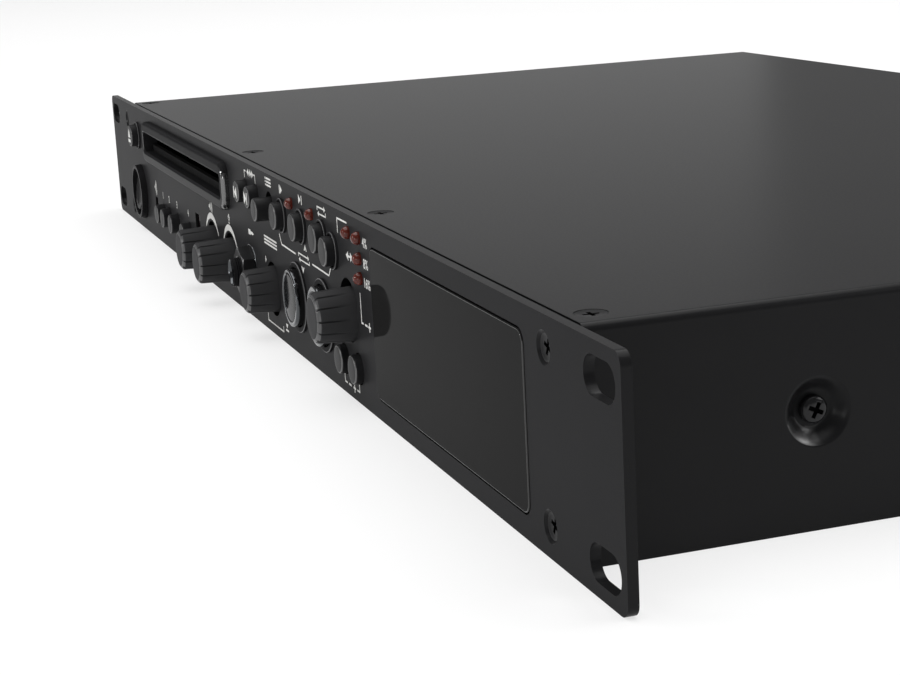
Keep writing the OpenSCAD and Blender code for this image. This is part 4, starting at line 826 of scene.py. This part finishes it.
# Cover: a U folded from 1 mm steel sheet, powder coated matte black, that slides over the tray.
# It is sunk for the top screws, and pressed into a soft dish round the whole head of each side screw.
SHEET_T = 1.0
BEND_R = 1.6
DISH_R = 6.8
DISH_FLOOR = 3.3
DISH_D = 2.6
DISH_STEPS = 14
low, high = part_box("top_cover")
cover = block("cover_sheet", low, high)
bpy.ops.object.mode_set(mode="EDIT")
bpy.ops.mesh.select_mode(type="EDGE")
bpy.ops.mesh.select_all(action="DESELECT")
mesh = bmesh.from_edit_mesh(cover.data)
for edge in mesh.edges:
    one, two = (vert.co for vert in edge.verts)
    edge.select_set(min(one.z, two.z) > high.z - 0.01 * MM and abs(one.x - two.x) < 0.01 * MM)
bmesh.update_edit_mesh(cover.data)
bpy.ops.mesh.bevel(offset=BEND_R * MM, segments=6, affect="EDGES")
bpy.ops.mesh.select_mode(type="FACE")
bpy.ops.mesh.select_all(action="DESELECT")
mesh = bmesh.from_edit_mesh(cover.data)
for face in mesh.faces:
    face.select_set(abs(face.normal.y) > 0.9 or face.normal.z < -0.9)
bmesh.update_edit_mesh(cover.data)
bpy.ops.mesh.delete(type="FACE")
bpy.ops.object.mode_set(mode="OBJECT")
sheet = cover.modifiers.new("sheet", "SOLIDIFY")
sheet.thickness = SHEET_T * MM
sheet.offset = -1
sheet.use_even_offset = True
bpy.ops.object.modifier_apply(modifier=sheet.name)
soften(cover, 0.12, angle=40)
# the pressed wall is half a wave of a cosine, and starts a hair above the sheet so that the cut is clean
wall = [(DISH_FLOOR + (DISH_R - DISH_FLOOR) * i / DISH_STEPS,
         DISH_D * (1 + math.cos(math.pi * i / DISH_STEPS)) / 2 - 0.03)
        for i in range(DISH_STEPS + 1)]
dish = turned("dish_cut", [(SCREW_R + 0.05, DISH_D + 1.5),
                           (SCREW_R + 0.05, wall[0][1])] + wall + [(DISH_R, -1)], 0, 0,
              sides=96)
boss = turned("dish_boss", [(DISH_FLOOR + 0.3, DISH_D + SHEET_T), (DISH_R + 0.3, 0.5 * SHEET_T)], 0, 0,
              sides=96)
hole = turned("sunk_cut", [(SCREW_R + 0.05, 2), (SCREW_R + 0.05, HEAD_R - SCREW_R), (HEAD_R + 0.05, 0),
                           (HEAD_R + 0.05, -1)], 0, 0, sides=48)
screw_low, screw_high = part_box("side_screws")
dish_z = (screw_low.z + screw_high.z) / 2
for side in (-1, 1):
    for y in SIDE_SCREWS:
        place, turn = (side * high.x, y * MM, dish_z), (0, 0, side * math.pi / 2)
        combine(cover, copy_to(boss, "boss", place, turn), "UNION")
        combine(cover, copy_to(dish, "dish", place, turn), "DIFFERENCE")
for place, turn in cover_places:
    combine(cover, copy_to(hole, "hole", place, turn), "DIFFERENCE")
for cutter in (dish, boss, hole):
    bpy.data.objects.remove(cutter)
fit_out(cover, powder_coat, "chassis", "cover_paint", "top_cover")
# Painted sheen: on the upward lower wall of each dish the coat's gloss rises as the face turns towards the
# back.
dish_painted_sheen = grained("powder_coat_painted_sheen", "#171718", "#1d1d1e", 6, 0.5, 0.02, (0.3, 0.38), IOR=1.5)
tree = dish_painted_sheen.node_tree
facing = add_node(tree, "SeparateXYZ", {"Vector": add_node(tree, "TexCoord").outputs["Normal"]})
sheen_by_facing = add_node(tree, "MapRange", {
    "Value": facing.outputs["Y"], "From Min": -0.12, "From Max": 0.25, "To Min": 0.1, "To Max": 1.0})
tree.links.new(sheen_by_facing.outputs["Result"], tree.nodes["Principled BSDF"].inputs["Specular IOR Level"])
cover.data.materials.append(dish_painted_sheen)
for face in cover.data.polygons:
    reach = min(math.hypot(face.center.y - y * MM, face.center.z - dish_z) for y in SIDE_SCREWS)
    sunk = (high.x - abs(face.center.x)) / MM
    lit = face.normal.z > 0.12 and face.normal.y > -0.25
    face.material_index = int(lit and reach < DISH_R * MM and 0.1 < sunk < DISH_D)


# Phono sockets: nickel shells round coloured inserts, in moulded housings screwed behind the rear wall.
# White and red mark the two sides of the sound, and orange the digital output.
REAR_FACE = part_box("top_cover")[1].y / MM
SHELL_R = 4.15
SHELL_WALL = 0.5
PHONO_BORE = 1.65
PHONO_FLANGE = 6.0
PHONO_FLANGE_T = 1.0
low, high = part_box("rca_sockets")
phono_end = high.y / MM
phono_z = (low.z + high.z) / 2 / MM
house = (high.z - low.z) / 2 / MM
for number, (x, dark, light) in enumerate(((30, "#b9b7b0", "#c9c7c0"), (44, "#8c1616", "#9d1d1b"),
                                           (70, "#b3530f", "#c4600f")), 1):
    insert_abs = grained("moulded_abs_insert_%d" % number, dark, light, 6, 0.4, 0.006, (0.3, 0.4))
    shell = turned("phono_shell_%d" % number, [
        (SHELL_R - SHELL_WALL, REAR_FACE), (SHELL_R, REAR_FACE), (SHELL_R, phono_end - 0.4),
        (SHELL_R - 0.15, phono_end),
        (SHELL_R - 0.4, phono_end), (SHELL_R - SHELL_WALL, phono_end - 0.15),
        (SHELL_R - SHELL_WALL, REAR_FACE)],
        x, phono_z, ring=True)
    fit_out(shell, nickel, "chassis", "bright_plating", *(["rca_sockets"] if number == 1 else []))
    insert = turned("phono_insert_%d" % number, [
        (PHONO_BORE, REAR_FACE), (SHELL_R - SHELL_WALL, REAR_FACE), (SHELL_R - SHELL_WALL, phono_end - 1.0),
        (PHONO_BORE + 0.8, phono_end - 1.0), (PHONO_BORE + 0.3, phono_end - 0.6),
        (PHONO_BORE, phono_end - 0.6),
        (PHONO_BORE, REAR_FACE)], x, phono_z, ring=True)
    fit_out(insert, insert_abs, "chassis", "black_plastic")
    flange = turned("phono_flange_%d" % number, [
        (SHELL_R, REAR_FACE), (PHONO_FLANGE, REAR_FACE), (PHONO_FLANGE, REAR_FACE + PHONO_FLANGE_T - 0.3),
        (PHONO_FLANGE - 0.3, REAR_FACE + PHONO_FLANGE_T), (SHELL_R, REAR_FACE + PHONO_FLANGE_T),
        (SHELL_R, REAR_FACE)],
        x, phono_z, ring=True)
    fit_out(flange, insert_abs, "chassis", "black_plastic")
    box = block("phono_housing_%d" % number, ((x - house) * MM, low.y, low.z),
                ((x + house) * MM, (REAR_FACE - 1) * MM, high.z))
    soften(box, 0.5)
    fit_out(box, nylon, "chassis", "black_plastic")


# Mains inlet: a shrouded three-pole socket moulded in black nylon, clipped into the rear wall.
# Its three blades are nickel-plated brass.
BLADE_DEPTHS = (238.6, 250.6)
INLET_X = 175
INLET_RECESS = (11.5, 7.5)
inlet = solid_copy("mains_inlet", "inlet_shroud")
soften(inlet, 0.3)
fit_out(inlet, nylon, "chassis", "black_plastic", "mains_inlet")
inlet.data.materials.append(nickel)
for face in inlet.data.polygons:
    across = abs(face.center.x / MM - INLET_X)
    above = abs(face.center.z / MM - phono_z)
    in_recess = across < INLET_RECESS[0] and above < INLET_RECESS[1]
    face.material_index = int(in_recess and BLADE_DEPTHS[0] < face.center.y / MM < BLADE_DEPTHS[1])


# Print: white silk-screen ink about 0.03 mm thick, laid on the panel and on three key faces.
# It holds level marks, brackets, plain numbers and common player symbols.
INK_T = 0.03
LINE = 0.42
FINE_LINE = 0.36
white_ink = grained("silk_screen_white", "#d4d4d1", "#e2e2df", 3, 0.2, 0.004, (0.55, 0.65), level=0.1)


def stroke(points, width=LINE):
    """Outline of a line of even width through some points, with its corners mitred."""
    path = [Vector(point) for point in points]
    left, right = [], []
    for i, point in enumerate(path):
        before = (point - path[i - 1] if i else path[1] - point).normalized()
        after = (path[i + 1] - point).normalized() if i + 1 < len(path) else before
        across = Vector((-before.y - after.y, before.x + after.x)).normalized()
        reach = width / 2 / max(0.3, across.dot(Vector((-before.y, before.x))))
        left.append(point + reach * across)
        right.append(point - reach * across)
    return left + right[::-1]


def bar(x, z, width, height):
    """A rectangle round its middle."""
    return [(x - width / 2, z - height / 2), (x + width / 2, z - height / 2),
            (x + width / 2, z + height / 2),
            (x - width / 2, z + height / 2)]


def wedge(x, z, length, height):
    """A triangle that points right, or left where its length is negative."""
    return [(x - length / 2, z - height / 2), (x + length / 2, z), (x - length / 2, z + height / 2)]


def arc(x, z, r, start, end, steps=24):
    """Points along part of a circle, from angle to angle in degrees."""
    turns = [math.radians(start + (end - start) * i / steps) for i in range(steps + 1)]
    return [(x + r * math.cos(turn), z + r * math.sin(turn)) for turn in turns]


def level_mark(x, z, r):
    """A crescent over a level knob, thickest at its top."""
    inner = [arc(x, z, r - 0.4 - 1.5 * math.sin(math.radians((a - 25) * 180 / 130)), a, a, 1)[0]
             for a in range(25, 156, 5)]
    return arc(x, z, r, 25, 155) + inner[::-1]


def loop_mark(x, z, width, height):
    """The repeat sign: an open loop with an arrowhead at each end."""
    w, h = width / 2, height / 2
    return [stroke([(x - w, z - 0.1), (x - w, z + h), (x + w - 1.5, z + h)], FINE_LINE),
            wedge(x + w - 0.8, z + h, 1.3, 1.4),
            stroke([(x + w, z + 0.1), (x + w, z - h), (x - w + 1.5, z - h)], FINE_LINE),
            wedge(x - w + 0.8, z - h, -1.3, 1.4)]


def printed(name, depth, outlines, body, numbers=()):
    """Flat shapes and numbers laid on a face at some depth, each outline in millimetres across and up."""
    bpy.ops.object.select_all(action="DESELECT")
    flat = bpy.data.curves.new(name, "CURVE")
    flat.dimensions = "2D"
    flat.fill_mode = "BOTH"
    flat.extrude = INK_T / 2 * MM
    for outline in outlines:
        spline = flat.splines.new("POLY")
        spline.points.add(len(outline) - 1)
        for point, (across, up) in zip(spline.points, outline):
            point.co = (across * MM, up * MM, 0, 1)
        spline.use_cyclic_u = True
    mark = bpy.data.objects.new(name, flat)
    bpy.context.scene.collection.objects.link(mark)
    parts = [mark]
    for text, across, up, height in numbers:
        bpy.ops.object.text_add(location=(across * MM, up * MM, 0))
        number = bpy.context.object
        number.data.body = text
        number.data.size = height / 0.7 * MM
        number.data.align_x = "CENTER"
        number.data.align_y = "CENTER"
        number.data.extrude = INK_T / 2 * MM
        number.data.offset = 0.02 * MM
        parts.append(number)
    bpy.ops.object.select_all(action="DESELECT")
    for part in parts:
        part.select_set(True)
    bpy.context.view_layer.objects.active = mark
    bpy.ops.object.convert(target="MESH")
    if numbers:
        bpy.ops.object.join()
    mark = bpy.context.object
    mark.rotation_euler = (math.pi / 2, 0, 0)
    mark.location = (0, (depth - INK_T / 2) * MM, 0)
    only(mark)
    settle()
    mark.data.materials.clear()
    mark.data.materials.append(white_ink)
    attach(mark, body)


k1x = round_place("knob_1")[0]
k2x = round_place("knob_2")[0]
panel_marks = [
    # level crescents over the two knobs, with a speaker and a microphone above them
    level_mark(k1x, -9.3, 10), level_mark(k2x, -9.3, 10),
    [(-69.6, 2.05), (-68.6, 2.05), (-67.4, 1.2), (-67.4, 3.8), (-68.6, 2.95), (-69.6, 2.95)],
    stroke(arc(-67.6, 2.5, 1.1, -45, 45), FINE_LINE), stroke(arc(-67.6, 2.5, 1.9, -45, 45), FINE_LINE),
    stroke(arc(-67.6, 2.5, 2.7, -45, 45), FINE_LINE),
    arc(-41.6, 3.3, 0.6, 0, 345, 20), stroke(arc(-41.6, 3.2, 1.1, 180, 360), 0.32),
    bar(-41.6, 1.65, 0.36, 0.5),
    bar(-41.6, 1.25, 1.8, 0.3),
    # receiver of the remote control, at the sensor window
    bar(-161.9, -3.5, 0.8, 0.8), stroke(arc(-162.3, -3.5, 1.6, -45, 45), FINE_LINE),
    stroke(arc(-162.3, -3.5, 2.6, -45, 45), FINE_LINE), stroke(arc(-162.3, -3.5, 3.6, -45, 45), FINE_LINE),
    # plug over the jack
    bar(-15.2, 2.6, 2.4, 1.5), bar(-12.6, 2.6, 2.6, 0.8), wedge(-10.6, 2.6, 1.3, 0.8),
    # search bracket
    stroke([(-16.3, 17.7), (-16.3, 19.7), (-14.6, 19.7)]), wedge(-12.2, 19.6, -2.0, 2.2),
    wedge(-10.1, 19.6, -2.0, 2.2),
    wedge(-8.6, 19.6, 2.0, 2.2), wedge(-6.5, 19.6, 2.0, 2.2),
    stroke([(-5.2, 19.7), (-3.6, 19.7), (-3.6, 17.4)]),
    # list over the mode key
    bar(8.7, 20.7, 0.7, 0.5), bar(8.7, 19.8, 0.7, 0.5), bar(8.7, 18.9, 0.7, 0.5), bar(12.1, 20.7, 5.0, 0.5),
    bar(12.1, 19.8, 5.0, 0.5), bar(12.1, 18.9, 5.0, 0.5),
    # start and end of a loop, and its repeat
    bar(24.0, 19.6, 0.6, 2.3), wedge(25.7, 19.6, 2.0, 2.3), wedge(44.5, 19.6, 2.0, 2.3),
    bar(46.4, 19.6, 0.6, 2.3),
    *loop_mark(65.2, 19.4, 7.5, 1.6),
    # bracket below the loop keys, with its loop and arrows
    stroke([(20.4, 7.5), (22.4, 4.9), (36.7, 4.7)]), stroke([(53.3, 4.7), (68.6, 4.5), (70.7, 6.9)]),
    *loop_mark(45.1, 4.7, 10.5, 1.5),
    [(45.6, 7.0), (47.0, 8.6), (48.4, 7.0), (47.6, 7.0), (47.0, 7.7), (46.4, 7.0)],
    [(42.1, 2.4), (43.5, 0.8), (44.9, 2.4), (44.1, 2.4), (43.5, 1.7), (42.9, 2.4)],
    # lamps
    stroke([(79.0, 16.4), (79.0, 19.9), (87.3, 19.9)]), wedge(86.0, 12.2, -1.9, 2.2),
    bar(87.8, 12.2, 1.6, 0.5),
    wedge(89.6, 12.2, 1.9, 2.2),
    # pitch
    stroke([(95.0, 5.1), (95.0, -1.8), (96.4, -1.8)]), bar(98.6, -1.8, 2.0, 0.5), bar(101.2, -1.8, 2.0, 0.5),
    bar(101.2, -1.1, 0.5, 0.8), bar(101.2, -2.5, 0.5, 0.8),
    # bend bracket
    stroke([(77.5, -17.5), (77.5, -19.3), (79.4, -19.3)]), bar(81.6, -19.3, 2.0, 0.5),
    bar(85.4, -19.3, 2.0, 0.5),
    bar(85.4, -18.6, 0.5, 0.8), bar(85.4, -20.0, 0.5, 0.8),
    stroke([(87.6, -19.3), (89.7, -19.3), (89.7, -17.5)]),
    # encoder: list sign above, push sign below
    bar(9.5, 4.3, 14.0, 0.5), bar(9.5, 3.4, 14.0, 0.5), bar(9.5, 2.5, 14.0, 0.5),
    [(2.3, -1.2), (3.5, -2.2), (2.3, -3.2)],
    stroke([(0.9, -17.3), (0.9, -19.3), (17.9, -19.3), (17.9, -17.8)]), bar(22.0, -18.2, 3.0, 0.5),
    [(20.9, -16.4), (23.1, -16.4), (22.0, -17.7)],
]
panel_numbers = [("1", -147.2, -4.6, 2.3), ("2", -136.3, -4.6, 2.3), ("3", -122.8, -4.6, 2.3),
                 ("4", -104.1, -4.6, 2.3),
                 ("4%", 101.0, 17.2, 2.2), ("8%", 101.0, 12.4, 2.2), ("16%", 101.2, 8.0, 2.2)]
printed("panel_print", PANEL_FRONT, panel_marks, "chassis", panel_numbers)
x, z, r, face = round_place("eject_button")
printed("eject_sign", face, [[(x - 2.2, z - 0.5), (x + 2.2, z - 0.5), (x, z + 2.5)],
                             bar(x, z - 1.7, 4.4, 1.1)],
        "eject_button")
x, z, r, face = round_place("search_back")
printed("search_back_sign", face, [bar(x - 1.6, z - 0.2, 0.8, 3.2), wedge(x + 0.3, z - 0.2, -2.8, 3.4)],
        "search_back")
x, z, r, face = round_place("search_forward")
printed("search_forward_sign", face, [wedge(x - 0.3, z - 0.2, 2.8, 3.4), bar(x + 1.6, z - 0.2, 0.8, 3.2)],
        "search_forward")


# Studio: a white paper floor under one wide soft lamp, with small lamps in front and behind for highlights.
# The surround is darker to the right, so the side of the case stays dark, as in the photograph.
FLOOR_Z = cad_box[0].z
FLOOR_GLOW = 0.68
bpy.ops.object.select_all(action="DESELECT")
bpy.ops.mesh.primitive_plane_add(size=30, location=(0, 0, FLOOR_Z))
floor = bpy.context.object
floor.name = "studio_floor"
paper = grained("studio_paper", "#f8f8f8", "#fbfbfb", 300, 5, 0.01, (0.8, 0.9), level=0.1)
floor.data.materials.append(paper)
tree = paper.node_tree
output = next(node for node in tree.nodes if node.type == "OUTPUT_MATERIAL")
sheet = output.inputs["Surface"].links[0].from_socket
path = add_node(tree, "LightPath").outputs
mirrored = add_node(tree, "Math", {0: path["Is Glossy Ray"], 1: path["Is Transmission Ray"]},
                    operation="MAXIMUM")
seen = add_node(tree, "Math", {0: path["Is Camera Ray"], 1: mirrored.outputs[0]}, operation="MAXIMUM")
share = add_node(tree, "Math", {0: seen.outputs[0], 1: FLOOR_GLOW}, operation="MULTIPLY")
white = add_node(tree, "Emission", {"Color": (1, 1, 1, 1), "Strength": 1.0})
backing = add_node(tree, "MixShader", {0: share.outputs[0], 1: sheet, 2: white.outputs[0]})
tree.links.new(backing.outputs[0], output.inputs["Surface"])

world = bpy.data.worlds.new("studio")
bpy.context.scene.world = world
world.use_nodes = True
world.node_tree.nodes.clear()
view = add_node(world.node_tree, "TexCoord").outputs["Generated"]
lean = add_node(world.node_tree, "VectorMath", {0: view, 1: (-0.86, 0.45, 0.25)}, operation="DOT_PRODUCT")
glow = add_node(world.node_tree, "MapRange", {
    "Value": lean.outputs["Value"], "From Min": -1.0, "From Max": 1.0, "To Min": 0.17, "To Max": 0.25})
surround = add_node(world.node_tree, "Background", {
    "Color": (1, 1, 1, 1), "Strength": glow.outputs["Result"]})
add_node(world.node_tree, "OutputWorld", {"Surface": surround.outputs["Background"]})

# name, place, target, width, height and power
for name, place, target, width, height, power in (
        ("overhead", (-0.3, 0.0, 2.2), (0, 0.0, 0), 3.0, 3.0, 70),
        ("front", (-0.3, -1.2, 0.4), (0, 0, 0), 0.14, 0.14, 3.0),
        ("low_right", (1.0, -1.3, 0.12), (0, 0, 0), 0.4, 0.25, 3.0),
        ("far_left", (-2.5, 0.7, 0.2), (0, 0.1, 0), 1.4, 0.26, 0.85),
        ("behind", (0.4, 1.6, 0.9), (0.2, 0.2, 0), 0.6, 0.6, 3.6),
        ("behind_right", (0.85, 1.35, 0.8), (0.2, 0.05, 0), 1.1, 0.7, 6.0)):
    light = bpy.data.lights.new(name, "AREA")
    light.shape = "RECTANGLE"
    light.size = width
    light.size_y = height
    light.energy = power
    lamp = bpy.data.objects.new(name, light)
    bpy.context.scene.collection.objects.link(lamp)
    lamp.location = place
    lamp.rotation_euler = (Vector(target) - Vector(place)).to_track_quat("-Z", "Y").to_euler()
    lamp.visible_camera = False

CAMERA_PLACE = (509.22, -117.2, 92.94)
CAMERA_AZIMUTH = math.radians(71.833)
CAMERA_HEIGHT = math.radians(13.0125)
CAMERA_ROLL = math.radians(-3.0113)
CAMERA_LENS = 77.9
back = Vector((math.sin(CAMERA_AZIMUTH) * math.cos(CAMERA_HEIGHT),
               -math.cos(CAMERA_AZIMUTH) * math.cos(CAMERA_HEIGHT), math.sin(CAMERA_HEIGHT)))
level = (-back).cross(Vector((0, 0, 1))).normalized()
rise = level.cross(-back)
right = math.cos(CAMERA_ROLL) * level + math.sin(CAMERA_ROLL) * rise
up = -math.sin(CAMERA_ROLL) * level + math.cos(CAMERA_ROLL) * rise
lens = bpy.data.cameras.new("photo_lens")
lens.lens = CAMERA_LENS
lens.sensor_width = 36
lens.clip_start = 0.01
camera = bpy.data.objects.new("photo_camera", lens)
bpy.context.scene.collection.objects.link(camera)
camera.matrix_world = Matrix((right, up, back)).transposed().to_4x4()
camera.location = Vector(CAMERA_PLACE) * MM
bpy.context.scene.camera = camera
bpy.context.scene.view_settings.view_transform = "Standard"
